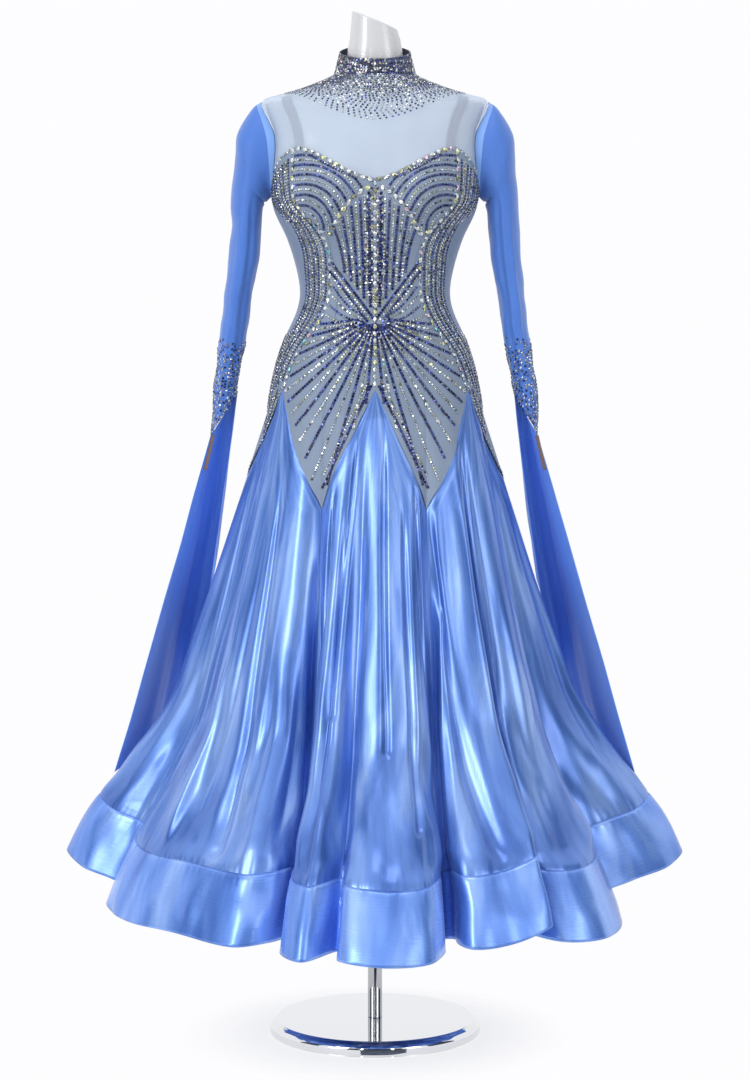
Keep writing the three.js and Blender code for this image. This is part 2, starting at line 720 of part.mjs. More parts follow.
// ---- Wing sleeves and finger loops ----------------------------------------------------------------
// A wing hangs from the back of the sleeve's edge, from its outer point round to its inner side.
const CUFF = SLEEVE_ARM.at(-1);
const WING_SEAM_GAP = 1.2;
function wingPoint(u, v) {
  const start = armPoint(CUFF, -180 * u, 0).add(V(0, 0, -WING_SEAM_GAP));
  const edge = column(WING_EDGE, "x").map((_, i) => i / (WING_EDGE.length - 1));
  const end = V(...["x", "y", "z"].map((key) => smooth(edge, column(WING_EDGE, key), u)));
  const hang = start.clone().lerp(end, v);
  const belly = Math.sin(Math.PI * v) * Math.sin(Math.PI * u);
  return hang.add(V(-6 * belly, 10 * belly, 0));
}
function wingGrid(by) {
  return steps(7).map((v) =>
    steps(6).map((u) => {
      const across = wingPoint(Math.min(1, u + 0.01), v).sub(wingPoint(Math.max(0, u - 0.01), v));
      const down = wingPoint(u, Math.min(1, v + 0.01)).sub(wingPoint(u, Math.max(0, v - 0.01)));
      return wingPoint(u, v).addScaledVector(across.cross(down).normalize(), by);
    }),
  );
}
// An elastic loop that hangs from the cuff's point, flat against the wing's outer edge.
const LOOP = { width: 5, length: 54, gap: 3, thickness: 1, lean: 13, segments: 5 };
function loopGrid(by) {
  const radius = LOOP.gap / 2 + by;
  const straight = LOOP.length - 2 * LOOP.gap;
  const turnAt = (end, k) => {
    const angle = radians((180 * k) / LOOP.segments) + (end ? Math.PI : 0);
    return { y: radius * Math.cos(angle), z: (end ? -straight : 0) + radius * Math.sin(angle) };
  };
  const path = [0, 1].flatMap((end) => Array.from({ length: LOOP.segments + 1 }, (_, k) => turnAt(end, k)));
  const top = armPoint(CUFF, 0, 0);
  const lean = Math.tan(radians(LOOP.lean));
  return [-0.5, 0.5].map((edge) =>
    path.map(({ y, z }) => V(top.x - 2 - lean * z + edge * LOOP.width, top.y + y - 11, top.z + z - 4)),
  );
}
for (const { name, side } of SIDES) {
  add(
    `wing_${name}`,
    wallGeometry(flip(wingGrid(-FLOAT_WALL / 2), side), flip(wingGrid(FLOAT_WALL / 2), side)),
    SLEEVE,
  );
  add(
    `finger_loop_${name}`,
    wallGeometry(flip(loopGrid(0), side), flip(loopGrid(LOOP.thickness), side), true),
    NUDE,
  );
}

// ---- Dress form and stand -----------------------------------------------------------------------
// The neck ends in a slanting cut, high on the -X side.
const NECK_CUT = { z: 1526, slope: -0.42 };
const FORM_ROWS = [
  FORM_FOOT_Z, 830, 870, 910, 945, 980, 1015, 1050, 1080, 1110, 1140, 1170, 1200, 1225, 1250, 1275, 1300,
  1330, 1360, 1385, 1400, SHOULDER_Z, 1416, 1424, 1431, 1438, 1446, 1458, 1480,
];
const FORM_TURNS = Array.from({ length: 48 }, (_, i) => (i * 360) / 48);
const neckTop = FORM_TURNS.map((turn) => {
  const rim = lifted(skinAt, turn, NECK_CUT.z, -FORM_INSET);
  return V(rim.x, rim.y, NECK_CUT.z + NECK_CUT.slope * rim.x);
});
add(
  "form_torso",
  ringSolid([...FORM_ROWS.map((z) => FORM_TURNS.map((turn) => lifted(skinAt, turn, z, -FORM_INSET))), neckTop]),
  FORM,
);

function turned(name, profile, segments, material) {
  const geometry = new THREE.LatheGeometry(profile.map(([r, z]) => new THREE.Vector2(r, z)), segments);
  geometry.rotateX(Math.PI / 2);
  add(name, geometry, material);
}
const TOUCH = 0.3;
turned(
  "stand_base",
  [
    [0, 0],
    [BASE.radius - 2.5, 0],
    [BASE.radius, 2.5],
    [BASE.radius, BASE.height - 8],
    [BASE.radius - 2, BASE.height - 3.5],
    [BASE.radius - 6, BASE.height - 0.8],
    [BASE.topRadius, BASE.height],
    [0, BASE.height],
  ],
  48,
  CHROME,
);
turned(
  "stand_pole",
  [
    [0, BASE.height + TOUCH],
    [POLE_RADIUS, BASE.height + TOUCH],
    [POLE_RADIUS, FORM_FOOT_Z - TOUCH],
    [0, FORM_FOOT_Z - TOUCH],
  ],
  24,
  CHROME,
);
export default dress;
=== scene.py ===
from math import cos, pi, radians, sin, tan

import bpy
import numpy as np
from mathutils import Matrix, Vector


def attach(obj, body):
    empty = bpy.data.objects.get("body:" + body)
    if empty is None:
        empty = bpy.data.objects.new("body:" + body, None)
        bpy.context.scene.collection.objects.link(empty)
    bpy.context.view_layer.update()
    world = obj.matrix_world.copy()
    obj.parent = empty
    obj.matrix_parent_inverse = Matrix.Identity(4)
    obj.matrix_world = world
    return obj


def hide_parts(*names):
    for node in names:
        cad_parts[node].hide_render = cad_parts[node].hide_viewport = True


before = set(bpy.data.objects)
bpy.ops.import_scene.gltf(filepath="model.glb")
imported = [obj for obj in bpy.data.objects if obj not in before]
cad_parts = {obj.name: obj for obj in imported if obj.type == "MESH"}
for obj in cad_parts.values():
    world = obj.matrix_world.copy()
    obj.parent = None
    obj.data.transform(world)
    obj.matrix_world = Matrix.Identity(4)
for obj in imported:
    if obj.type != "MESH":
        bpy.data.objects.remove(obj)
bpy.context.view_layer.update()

SEED = 5

# ---- Sizes, in metres, as in the CAD ----------------------------------------------------------
CLOTH_OFF = 0.004
BODICE_WALL = 0.0016
YOKE_WALL = 0.0012
GORE_WALL = 0.0014
BAND_WALL = 0.0022
HIP_Z = 0.945
FREE_Z = 0.700
APEX_Z = 0.983
POINT_Z = 0.809
BAND_START = 0.87
NECK_Z = 1.445
SHOULDER_Z = 1.407
ARMHOLE_Z, ARMHOLE_HALF, ARMHOLE_TURN = 1.337, 0.070, 20
UNDERBUST_Z = 1.213
BACK_TOP_Z = 1.250
FORM_FOOT_Z = 0.800
FORM_INSET = 0.0018
POLE_RADIUS = 0.011

# The form's sections: height, half width, depth in front, depth behind, squareness.
BODY = np.array([
    (0.740, 0.128, 0.084, 0.092, 2.2),
    (0.800, 0.146, 0.092, 0.104, 2.2),
    (0.870, 0.156, 0.097, 0.115, 2.2),
    (0.945, 0.156, 0.099, 0.118, 2.2),
    (1.005, 0.146, 0.097, 0.106, 2.2),
    (1.050, 0.132, 0.093, 0.091, 2.2),
    (1.095, 0.112, 0.087, 0.077, 2.2),
    (1.125, 0.1065, 0.084, 0.073, 2.2),
    (1.162, 0.112, 0.086, 0.076, 2.25),
    (1.207, 0.126, 0.094, 0.087, 2.35),
    (1.252, 0.146, 0.101, 0.097, 2.6),
    (1.300, 0.150, 0.097, 0.100, 2.8),
    (1.356, 0.150, 0.086, 0.095, 2.8),
    (1.385, 0.159, 0.076, 0.088, 2.6),
    (1.400, 0.164, 0.070, 0.083, 2.5),
    (1.407, 0.161, 0.066, 0.080, 2.45),
    (1.416, 0.126, 0.060, 0.076, 2.35),
    (1.424, 0.100, 0.054, 0.071, 2.3),
    (1.437, 0.068, 0.044, 0.062, 2.2),
    (1.445, 0.055, 0.038, 0.057, 2.1),
    (1.460, 0.046, 0.033, 0.052, 2.0),
    (1.485, 0.042, 0.032, 0.049, 2.0),
    (1.515, 0.037, 0.029, 0.045, 2.0),
    (1.545, 0.034, 0.027, 0.042, 2.0),
])
BUST_X, BUST_Z, BUST_SPREAD_X, BUST_SPREAD_Z, BUST_HEIGHT = 0.066, 1.257, 0.046, 0.040, 0.027

# Each gore: name, turn of its first seam at the hip, turn of its top, and the hem's ridges and
# valleys as (direction, radius, height).
HEM = [
    ("centre_front", -25, 0, [
        (-20.5, 0.325, 0.216), (-18.5, 0.412, 0.211), (-13, 0.450, 0.209), (-7.6, 0.392, 0.213),
        (-6.2, 0.442, 0.210), (2, 0.462, 0.206), (9.5, 0.450, 0.207), (14, 0.402, 0.212)]),
    ("right_front", 25, 60, [
        (16.5, 0.350, 0.219), (20, 0.408, 0.214), (29, 0.414, 0.219), (37, 0.420, 0.238),
        (35.5, 0.345, 0.222), (41, 0.408, 0.208), (50, 0.432, 0.207), (62, 0.404, 0.216),
        (69, 0.352, 0.234), (77, 0.396, 0.252), (84, 0.442, 0.264), (91, 0.464, 0.282)]),
    ("right_back", 100, 140, [
        (101, 0.402, 0.280), (112, 0.380, 0.254), (122, 0.440, 0.242), (133, 0.378, 0.234),
        (145, 0.442, 0.228), (156, 0.376, 0.224), (168, 0.440, 0.220)]),
    ("left_back", 180, 220, [
        (180, 0.370, 0.222), (193, 0.442, 0.221), (205, 0.378, 0.224), (217, 0.438, 0.228),
        (229, 0.374, 0.234), (240, 0.444, 0.242), (250, 0.386, 0.254)]),
    ("left_front", 260, 300, [
        (259, 0.408, 0.280), (269, 0.467, 0.282), (276, 0.444, 0.264), (281.5, 0.392, 0.244),
        (287, 0.414, 0.224), (299, 0.416, 0.216), (314, 0.404, 0.216), (330, 0.404, 0.210),
        (336, 0.374, 0.214)]),
]

# Sleeve cap sections: underarm x and z, rise in degrees, length, half depth.
SLEEVE_CAP = [
    (0.155, 1.2665, 78, 0.133, 0.047), (0.1605, 1.261, 66, 0.1085, 0.049),
    (0.163, 1.2575, 58, 0.0845, 0.048), (0.165, 1.254, 48, 0.0665, 0.046),
    (0.167, 1.249, 34, 0.055, 0.045), (0.1685, 1.242, 14, 0.047, 0.044),
]
# Arm sections: height, inner and outer edge, half depth, drop of the outer side.
SLEEVE_ARM = [
    (1.225, 0.169, 0.214, 0.043, 0), (1.180, 0.173, 0.2185, 0.041, 0),
    (1.130, 0.181, 0.224, 0.039, 0), (1.080, 0.189, 0.229, 0.037, 0),
    (1.030, 0.1975, 0.236, 0.034, 0.003), (0.985, 0.2045, 0.243, 0.031, 0.014),
    (0.944, 0.208, 0.245, 0.028, 0.030),
]
WING_EDGE = np.array([
    (0.395, 0.010, 0.398), (0.352, 0.104, 0.424), (0.306, 0.156, 0.510),
    (0.268, 0.112, 0.606), (0.245, 0.024, 0.694)])
STRAP = np.array([
    (40, 1.322), (41.5, 1.345), (43.5, 1.372), (46, 1.394), (51, 1.407), (66, 1.4125),
    (90, 1.4145), (114, 1.4125), (129, 1.405), (135, 1.385), (138, 1.350), (141, 1.300)])
STRAP_WIDTH = 0.014


# ---- Curves -----------------------------------------------------------------------------------
def smooth(at, value, x):
    """A smooth curve through value at at, read at x."""
    at, value, x = (np.asarray(a, float) for a in (at, value, x))
    i = np.clip(np.searchsorted(at, x, side="right") - 1, 0, len(at) - 2)
    k = np.arange(len(at))
    before, after = np.maximum(k - 1, 0), np.minimum(k + 1, len(at) - 1)
    wide = (lambda a: a[..., None]) if value.ndim > 1 else (lambda a: a)
    slope = (value[after] - value[before]) / wide(at[after] - at[before])
    span = wide(at[i + 1] - at[i])
    t = wide(np.clip((x - at[i]) / (at[i + 1] - at[i]), 0, 1))
    t2, t3 = t * t, t * t * t
    return (
        (2 * t3 - 3 * t2 + 1) * value[i] + (t3 - 2 * t2 + t) * span * slope[i]
        + (3 * t2 - 2 * t3) * value[i + 1] + (t3 - t2) * span * slope[i + 1])


def lerp(a, b, t):
    return a + (b - a) * t


def ease(low, high, x):
    t = np.clip((x - low) / (high - low), 0, 1)
    return t * t * (3 - 2 * t)


def signed_power(v, p):
    return np.sign(v) * np.abs(v) ** p


def noise(x, y, seed, around=None):
    """Smooth seeded noise from -1 to 1, with cells of size 1; it repeats after `around` in x."""
    def lattice(i, j):
        i = np.mod(i, around) if around else i
        h = np.sin(i * 127.1 + j * 311.7 + seed * 74.7) * 43758.5453
        return 2 * (h - np.floor(h)) - 1
    i, j = np.floor(x), np.floor(y)
    fx, fy = x - i, y - j
    fx, fy = fx * fx * (3 - 2 * fx), fy * fy * (3 - 2 * fy)
    low = lerp(lattice(i, j), lattice(i + 1, j), fx)
    high = lerp(lattice(i, j + 1), lattice(i + 1, j + 1), fx)
    return lerp(low, high, fy)


# ---- Body and skirt surfaces --------------------------------------------------------------------
def skin_at(turn, z):
    """The form's surface; turn is in degrees from the front, and z a height."""
    turn, z = np.broadcast_arrays(np.asarray(turn, float), np.asarray(z, float))
    w, front, back, square = (smooth(BODY[:, 0], BODY[:, k], z) for k in (1, 2, 3, 4))
    side, ahead = np.sin(np.radians(turn)), np.cos(np.radians(turn))
    x = w * signed_power(side, 2 / square)
    y = -np.where(ahead > 0, front, back) * signed_power(ahead, 2 / square)
    across = (np.abs(x) - BUST_X) / BUST_SPREAD_X
    up = (z - BUST_Z) / np.where(z > BUST_Z, BUST_SPREAD_Z * 1.25, BUST_SPREAD_Z)
    bust = BUST_HEIGHT * np.exp(-across ** 2 - up ** 2) * np.clip(3 * ahead, 0, 1)
    return np.stack([x, y - bust, z], -1)


def hem_controls():
    """The hem's ridges and valleys as (turn at the hip, x, y, z), shared out along each gore."""
    def point(f):
        return np.array([f[1] * sin(radians(f[0])), -f[1] * cos(radians(f[0])), f[2]])
    rows = []
    for g, (_, start, _, folds) in enumerate(HEM):
        after = HEM[(g + 1) % len(HEM)]
        end = after[1] if g + 1 < len(HEM) else after[1] + 360
        points = [point(f) for f in folds] + [point(after[3][0])]
        run = np.cumsum([0] + [np.linalg.norm(b - a) for a, b in zip(points, points[1:])])
        for p, r in zip(points[:-1], run[:-1]):
            rows.append([lerp(start, end, r / run[-1]), *p])
    rows = np.array(rows)
    full = np.array([360, 0, 0, 0])
    return np.vstack([rows[-3:] - full, rows, rows[:3] + full])


HEM_CONTROLS = hem_controls()


def hem_at(turn):
    hip = np.mod(np.asarray(turn, float) + 25, 360) - 25
    return smooth(HEM_CONTROLS[:, 0], HEM_CONTROLS[:, 1:], hip)


def skirt_at(turn, z):
    """The skirt's surface, from the hip out to the hem."""
    turn, z = np.broadcast_arrays(np.asarray(turn, float), np.asarray(z, float))
    hip, hem = skin_at(turn, HIP_Z), hem_at(turn)
    fall = np.clip((HIP_Z - z) / (HIP_Z - hem[..., 2]), 0, 1.02)
    out = (0.74 * fall + 0.26 * ease(0.6, 1, fall))[..., None]
    p = lerp(hip, hem, out)
    return np.concatenate([p[..., :2], z[..., None]], -1)


def surface_at(turn, z):
    z = np.asarray(z, float)
    above, below = skin_at(turn, np.maximum(z, HIP_Z)), skirt_at(turn, np.minimum(z, HIP_Z))
    return np.where((z >= HIP_Z)[..., None], above, below)


def normal_at(surface, turn, z):
    across = surface(turn + 0.4, z) - surface(turn - 0.4, z)
    up = surface(turn, z + 0.0006) - surface(turn, z - 0.0006)
    n = np.cross(across, up)
    return n / np.maximum(np.linalg.norm(n, axis=-1, keepdims=True), 1e-12)


def lifted(surface, turn, z, by):
    """Points of a surface, moved out along its normal."""
    turn, z = np.broadcast_arrays(np.asarray(turn, float), np.asarray(z, float))
    by = np.broadcast_to(np.asarray(by, float), turn.shape)
    return surface(turn, z) + normal_at(surface, turn, z) * by[..., None]


def cloth_offset(z, wall):
    return lerp(CLOTH_OFF, -wall / 2, np.clip((HIP_Z - z) / (HIP_Z - FREE_Z), 0, 1)) + wall


# ---- Meshes -----------------------------------------------------------------------------------
def new_object(name, verts, faces, smoothed=True, uv=None):
    mesh = bpy.data.meshes.new(name)
    mesh.from_pydata([tuple(v) for v in verts], [], faces)
    mesh.polygons.foreach_set("use_smooth", [smoothed] * len(mesh.polygons))
    if uv is not None:
        layer = mesh.uv_layers.new(name="cloth")
        loops = np.empty(len(mesh.loops), int)
        mesh.loops.foreach_get("vertex_index", loops)
        layer.data.foreach_set("uv", np.asarray(uv)[loops].ravel())
    mesh.update()
    obj = bpy.data.objects.new(name, mesh)
    bpy.context.scene.collection.objects.link(obj)
    return obj


def grid_faces(rows, columns, ringed=False):
    spans = columns if ringed else columns - 1
    r, c = np.meshgrid(np.arange(rows - 1), np.arange(spans), indexing="ij")
    d = (c + 1) % columns
    quads = np.stack([r * columns + c, (r + 1) * columns + c, (r + 1) * columns + d, r * columns + d], -1)
    return quads.reshape(-1, 4).tolist()


def lengths(p, axis):
    return np.linalg.norm(np.diff(p, axis=axis), axis=-1)


def cloth_uv(p):
    """Metres along the last row, and metres down each column."""
    foot = np.concatenate([[0], np.cumsum(lengths(p, 1)[-1])])
    down = np.vstack([np.zeros((1, p.shape[1])), np.cumsum(lengths(p, 0), axis=0)])
    return np.stack([np.broadcast_to(foot, down.shape), down], -1).reshape(-1, 2)


def flat_size(p, levels=60):
    """The longest level line across the cloth, and the way down it, strip by strip as area over width."""
    z = np.linspace(p[..., 2].max() - 0.0005, p[..., 2].min() + 0.0005, levels)
    lines = np.full((levels, p.shape[1], 3), np.nan)
    for c in range(p.shape[1]):
        column = p[::-1, c] if p[0, c, 2] > p[-1, c, 2] else p[:, c]
        rise = np.maximum.accumulate(column[:, 2])
        inside = (z >= rise[0]) & (z <= rise[-1])
        for k in range(3):
            lines[inside, c, k] = np.interp(z[inside], rise, column[:, k])
    across = np.nansum(lengths(lines, 1), axis=1)
    a, b, c, d = lines[:-1, :-1], lines[1:, :-1], lines[1:, 1:], lines[:-1, 1:]
    cover = np.nansum(np.linalg.norm(np.cross(c - a, d - b), axis=-1), axis=1) / 2
    mean = (across[:-1] + across[1:]) / 2
    used = mean > 1e-4
    return across.max(), (cover[used] / mean[used]).sum()


def finish_piece(obj, material, nodes=()):
    for m in material if isinstance(material, (list, tuple)) else [material]:
        obj.data.materials.append(m)
    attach(obj, "root")
    if nodes:
        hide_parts(*nodes)
    return obj


def cloth(name, p, material, slot, held="stretched", rests_on=("form_torso",), wall=0.0,
          ringed=False, strip=False):
    """A cloth piece from a grid of points; its flat size is worked out but not used."""
    rows, columns = p.shape[:2]
    obj = new_object(name + "_cloth", p.reshape(-1, 3), grid_faces(rows, columns, ringed), uv=cloth_uv(p))
    if wall:
        mod = obj.modifiers.new("thickness", "SOLIDIFY")
        mod.thickness, mod.offset = wall, -1
    finish_piece(obj, material, [name])
    closed = np.concatenate([p, p[:, :1]], axis=1) if ringed else p
    if strip:
        width, length = lengths(closed, 1).sum(axis=1).max(), lengths(closed, 0).sum(axis=0).max()
    else:
        width, length = flat_size(closed)
    return obj


# ---- Materials ----------------------------------------------------------------------------------
def shader(name, color, roughness=0.5, metallic=0.0, **values):
    m = bpy.data.materials.new(name)
    m.use_nodes = True
    s = m.node_tree.nodes["Principled BSDF"]
    s.inputs["Base Color"].default_value = (*color, 1)
    s.inputs["Roughness"].default_value = roughness
    s.inputs["Metallic"].default_value = metallic
    for key, value in values.items():
        s.inputs[key.replace("_", " ")].default_value = value
    return m


def add_node(m, kind, links=(), **settings):
    """A node with its sockets set by name; links are (from node, from socket, own socket)."""
    n = m.node_tree.nodes.new(kind)
    for key, value in settings.items():
        if hasattr(n, key):
            setattr(n, key, value)
        else:
            n.inputs[key.replace("_", " ")].default_value = value
    for source, out, own in links:
        m.node_tree.links.new(source.outputs[out], n.inputs[own])
    return n


def link(m, source, out, socket):
    m.node_tree.links.new(source.outputs[out], m.node_tree.nodes["Principled BSDF"].inputs[socket])


def ramp(m, source, out, stops):
    n = add_node(m, "ShaderNodeValToRGB", [(source, out, "Fac")])
    while len(n.color_ramp.elements) < len(stops):
        n.color_ramp.elements.new(0.5)
    for e, (at, color) in zip(n.color_ramp.elements, stops):
        e.position = at
        e.color = (*color, 1) if len(color) == 3 else color
    return n


def cloth_coordinates(m, scale):
    uv = add_node(m, "ShaderNodeTexCoord")
    return add_node(m, "ShaderNodeMapping", [(uv, "UV", "Vector")], Scale=scale)


def satin_material(name, lift, weave=(520, 14, 1)):
    """Woven satin; lift lightens its colour, and weave is how fine the threads are each way. Its colour
    carries painted sheen: stretched noise paints light and dark streaks as painted highlights and painted
    fold shade.
    """
    m = shader(name, (0.15, 0.30, 0.80), 0.28, 0.48, Anisotropic=0.5, Sheen_Weight=0.2,
               Sheen_Roughness=0.3, Sheen_Tint=(0.75, 0.85, 1, 1), Coat_Weight=0.3, Coat_Roughness=0.18,
               Coat_IOR=1.7)
    tangent = add_node(m, "ShaderNodeTangent", direction_type="UV_MAP", uv_map="cloth")
    link(m, tangent, "Tangent", "Tangent")
    threads = add_node(m, "ShaderNodeTexNoise", [(cloth_coordinates(m, weave), "Vector", "Vector")],
                       Scale=1, Detail=3, Roughness=0.6)
    # Painted highlights and painted fold shade: a stretched noise sets light and dark streaks in the base
    # colour.
    painted_sheen_streaks = add_node(m, "ShaderNodeTexNoise", [(cloth_coordinates(m, (18, 5.0, 1)), "Vector", "Vector")],
                       Scale=1, Detail=3, Distortion=0.6)
    stops = [(0.30, (0.050, 0.14, 0.48)), (0.50, (0.11, 0.24, 0.66)), (0.72, (0.26, 0.42, 0.82))]
    painted_sheen_tone = ramp(m, painted_sheen_streaks, "Fac", [(at, tuple(min(1, c * lift) for c in color)) for at, color in stops])
    link(m, painted_sheen_tone, "Color", "Base Color")
    gloss = add_node(m, "ShaderNodeMapRange", [(threads, "Fac", "Value")], To_Min=0.22, To_Max=0.36)
    link(m, gloss, "Result", "Roughness")
    bump = add_node(m, "ShaderNodeBump", [(threads, "Fac", "Height")], Strength=0.09, Distance=0.001)
    link(m, bump, "Normal", "Normal")
    return m


def knit_material(name, color, alpha=1.0, roughness=0.6, sheen=0.4, density=900):
    m = shader(name, color, roughness, 0.0, Sheen_Weight=sheen, Sheen_Roughness=0.4,
               Sheen_Tint=(0.7, 0.8, 1, 1), Alpha=alpha)
    fine, broad = cloth_coordinates(m, (density, density, 1)), cloth_coordinates(m, (9, 4, 1))
    loops = add_node(m, "ShaderNodeTexVoronoi", [(fine, "Vector", "Vector")], Scale=1)
    bump = add_node(m, "ShaderNodeBump", [(loops, "Distance", "Height")], Strength=0.15, Distance=0.0006)
    link(m, bump, "Normal", "Normal")
    shade = add_node(m, "ShaderNodeTexNoise", [(broad, "Vector", "Vector")], Scale=1)
    low = tuple(c * 0.92 for c in color)
    high = tuple(min(1, c * 1.06) for c in color)
    link(m, ramp(m, shade, "Fac", [(0.3, low), (0.7, high)]), "Color", "Base Color")
    return m


SATIN = satin_material("satin", 1.0)
# The hem band's satin is painted 1.2 times lighter: painted light for the light that falls on the flared
# lower skirt.
SATIN_BAND = satin_material("satin_band_painted_lighter", 1.2, (14, 420, 1))
BODICE = knit_material("bodice_mesh", (0.20, 0.26, 0.36), density=700)
YOKE = knit_material("yoke_mesh", (0.56, 0.68, 0.86), alpha=0.52, density=1100)
SLEEVE = knit_material("sleeve_mesh", (0.060, 0.185, 0.62), alpha=0.93, roughness=0.55, sheen=0.5)
SLEEVE_SEAM = knit_material("sleeve_seam", (0.20, 0.38, 0.80), alpha=0.97)
# The wings are the sleeves' mesh painted lighter: painted light for the wings, which face the dark front
# flag.
WING = knit_material("wing_mesh_painted_lighter", (0.17, 0.38, 0.93), alpha=1.0, roughness=0.6, sheen=0.5)
ELASTIC = knit_material("elastic", (0.17, 0.105, 0.09), density=500)
COLLAR = knit_material("collar_mesh", (0.13, 0.15, 0.24), density=700)
# The white form's colour is painted mid grey: painted shade, so the form shows shaded against the white
# background.
FORM = shader("form_white", (0.56, 0.57, 0.585), 0.22, Coat_Weight=0.4, Coat_Roughness=0.08)
CHROME = shader("chrome", (0.80, 0.81, 0.83), 0.05, 1.0)
# The pole's chrome is a darker copy of the base's chrome: painted shade for the darker reflections along the
# pole.
POLE_CHROME = shader("pole_chrome_painted_darker", (0.46, 0.47, 0.49), 0.05, 1.0)


def crystal(name, color, metallic=0.6, roughness=0.2, coat=0.7):
    return shader(name, color, roughness, metallic, Coat_Weight=coat, Coat_Roughness=0.03, Coat_IOR=1.9)


CRYSTALS = {
    "silver": crystal("crystal_silver", (0.60, 0.63, 0.62)),
    # The smoke crystal is a real dark stone, and the same material paints the shade on every stone's sides
    # and dark facets.
    "smoke": crystal("crystal_smoke", (0.045, 0.055, 0.085), coat=0.3),
    "ice": crystal("crystal_ice", (0.40, 0.48, 0.58)),
    "sapphire": crystal("crystal_sapphire", (0.02, 0.045, 0.27), coat=0.35),
    "navy": crystal("crystal_navy", (0.008, 0.015, 0.10), coat=0.35),
    "lime": crystal("crystal_lime", (0.60, 0.63, 0.34)),
    "aqua": crystal("crystal_aqua", (0.20, 0.50, 0.55)),
    "rose": crystal("crystal_rose", (0.56, 0.42, 0.50)),
    "olive": crystal("crystal_olive", (0.30, 0.31, 0.18)),
}
KINDS = list(CRYSTALS)

# ---- Style lines ----------------------------------------------------------------------------------
def armhole_at(angle, shrink=0.0):
    """Turn and height round the armhole, from its top; shrink draws it in, at 2.6 mm a degree."""
    a = np.radians(np.asarray(angle, float))
    half_turn, half_height = ARMHOLE_TURN - shrink * 1000 / 2.6, ARMHOLE_HALF - shrink
    return 90 - half_turn * np.sin(a), ARMHOLE_Z + half_height * np.cos(a)


def armhole_turn(z):
    up = np.clip((z - ARMHOLE_Z) / ARMHOLE_HALF, -1, 1)
    return 90 - ARMHOLE_TURN * np.sqrt(1 - up * up)


LOW_TURN, LOW_Z = (float(a) for a in armhole_at(120))
SWEETHEART = np.array([
    (0, 1.291), (8, 1.301), (17, 1.316), (27, 1.329), (37, 1.336), (46, 1.336), (60, 1.322),
    (LOW_TURN, LOW_Z)])
UNDERCUP = np.array([
    (0, 1.280), (8, 1.262), (17, 1.238), (25, 1.216), (28, UNDERBUST_Z), (35, 1.226), (46, 1.262)])
PRINCESS = np.array([
    (APEX_Z, 60), (1.035, 53), (1.072, 43), (1.110, 36.5), (1.150, 33.5), (1.190, 30.5), (1.226, 34.5),
    (1.262, 46), (1.336, 46)])
CUP_TURN = 46
PANEL_ROWS = [0, 0.07, 0.16, 0.3, 0.48, 0.66, 0.83, 1]


def sweetheart_z(turn):
    return smooth(SWEETHEART[:, 0], SWEETHEART[:, 1], turn)


def undercup_z(turn):
    return smooth(UNDERCUP[:, 0], UNDERCUP[:, 1], turn)


CUP_FOOT = CUP_TURN * 6 / 8
CENTRE_TOP = CUP_TURN * 5 / 8


def princess_at(v):
    z = lerp(float(undercup_z(CUP_FOOT)), APEX_Z, v)
    return smooth(PRINCESS[:, 0], PRINCESS[:, 1], z), z


def centre_seam_at(v):
    return lerp(CENTRE_TOP, 25, v), lerp(float(undercup_z(CENTRE_TOP)), POINT_Z, v)


corner = CUP_TURN * 7 / 8
SIDE_FRONT = np.array(
    [(CUP_TURN, 1.336), (CUP_TURN, 1.299)]
    + [(turn, float(undercup_z(turn))) for turn in (CUP_TURN, corner)]
    + [tuple(float(a) for a in princess_at(v)) for v in PANEL_ROWS])
SIDE_ROWS = len(SIDE_FRONT) - 1


def side_front(v):
    """The side panel's front edge by row number, which need not be whole."""
    t = np.interp(v, range(SIDE_ROWS + 1), SIDE_FRONT[:, 0])
    z = np.interp(v, range(SIDE_ROWS + 1), SIDE_FRONT[:, 1])
    on_line = v > 4
    share = np.interp(v - 4, range(len(PANEL_ROWS)), PANEL_ROWS)
    pt, pz = princess_at(share)
    return np.where(on_line, pt, t), np.where(on_line, pz, z)


def seam_groove(u, width=0.02, depth=0.0009):
    """A shallow groove along the side seams; width is its share of the piece."""
    return -depth * (np.exp(-(u / width) ** 2) + np.exp(-((1 - u) / width) ** 2))


def panel(name, place, across, down, material, slot, wall=BODICE_WALL, surface=surface_at, **facts):
    """A piece on the form, from its place: turn and height by share across and share down."""
    u, v = np.meshgrid(np.linspace(0, 1, across), np.linspace(0, 1, down))
    turn, z = place(u, v)
    by = cloth_offset(z, wall) + seam_groove(u)
    return cloth(name, lifted(surface, turn, z, by), material, slot, **facts)


def mirror(side, place):
    def place_mirrored(u, v):
        turn, z = place(u, v)
        return side * turn, z
    return place_mirrored


SIDES = (("right", 1), ("left", -1))


# ---- Bodice, yoke and collar ------------------------------------------------------------------------
def centre_place(u, v):
    share = np.abs(2 * u - 1)
    top = undercup_z(share * CENTRE_TOP)
    return (2 * u - 1) * centre_seam_at(v)[0], lerp(top, lerp(APEX_Z, POINT_Z, share), v)


def cup_place(u, v):
    turn = u * CUP_TURN
    return turn, lerp(sweetheart_z(turn), undercup_z(turn), v)


def hip_place(u, v):
    (ct, cz), (pt, pz) = centre_seam_at(v), princess_at(v)
    return lerp(ct, pt, u), lerp(cz, pz, u)


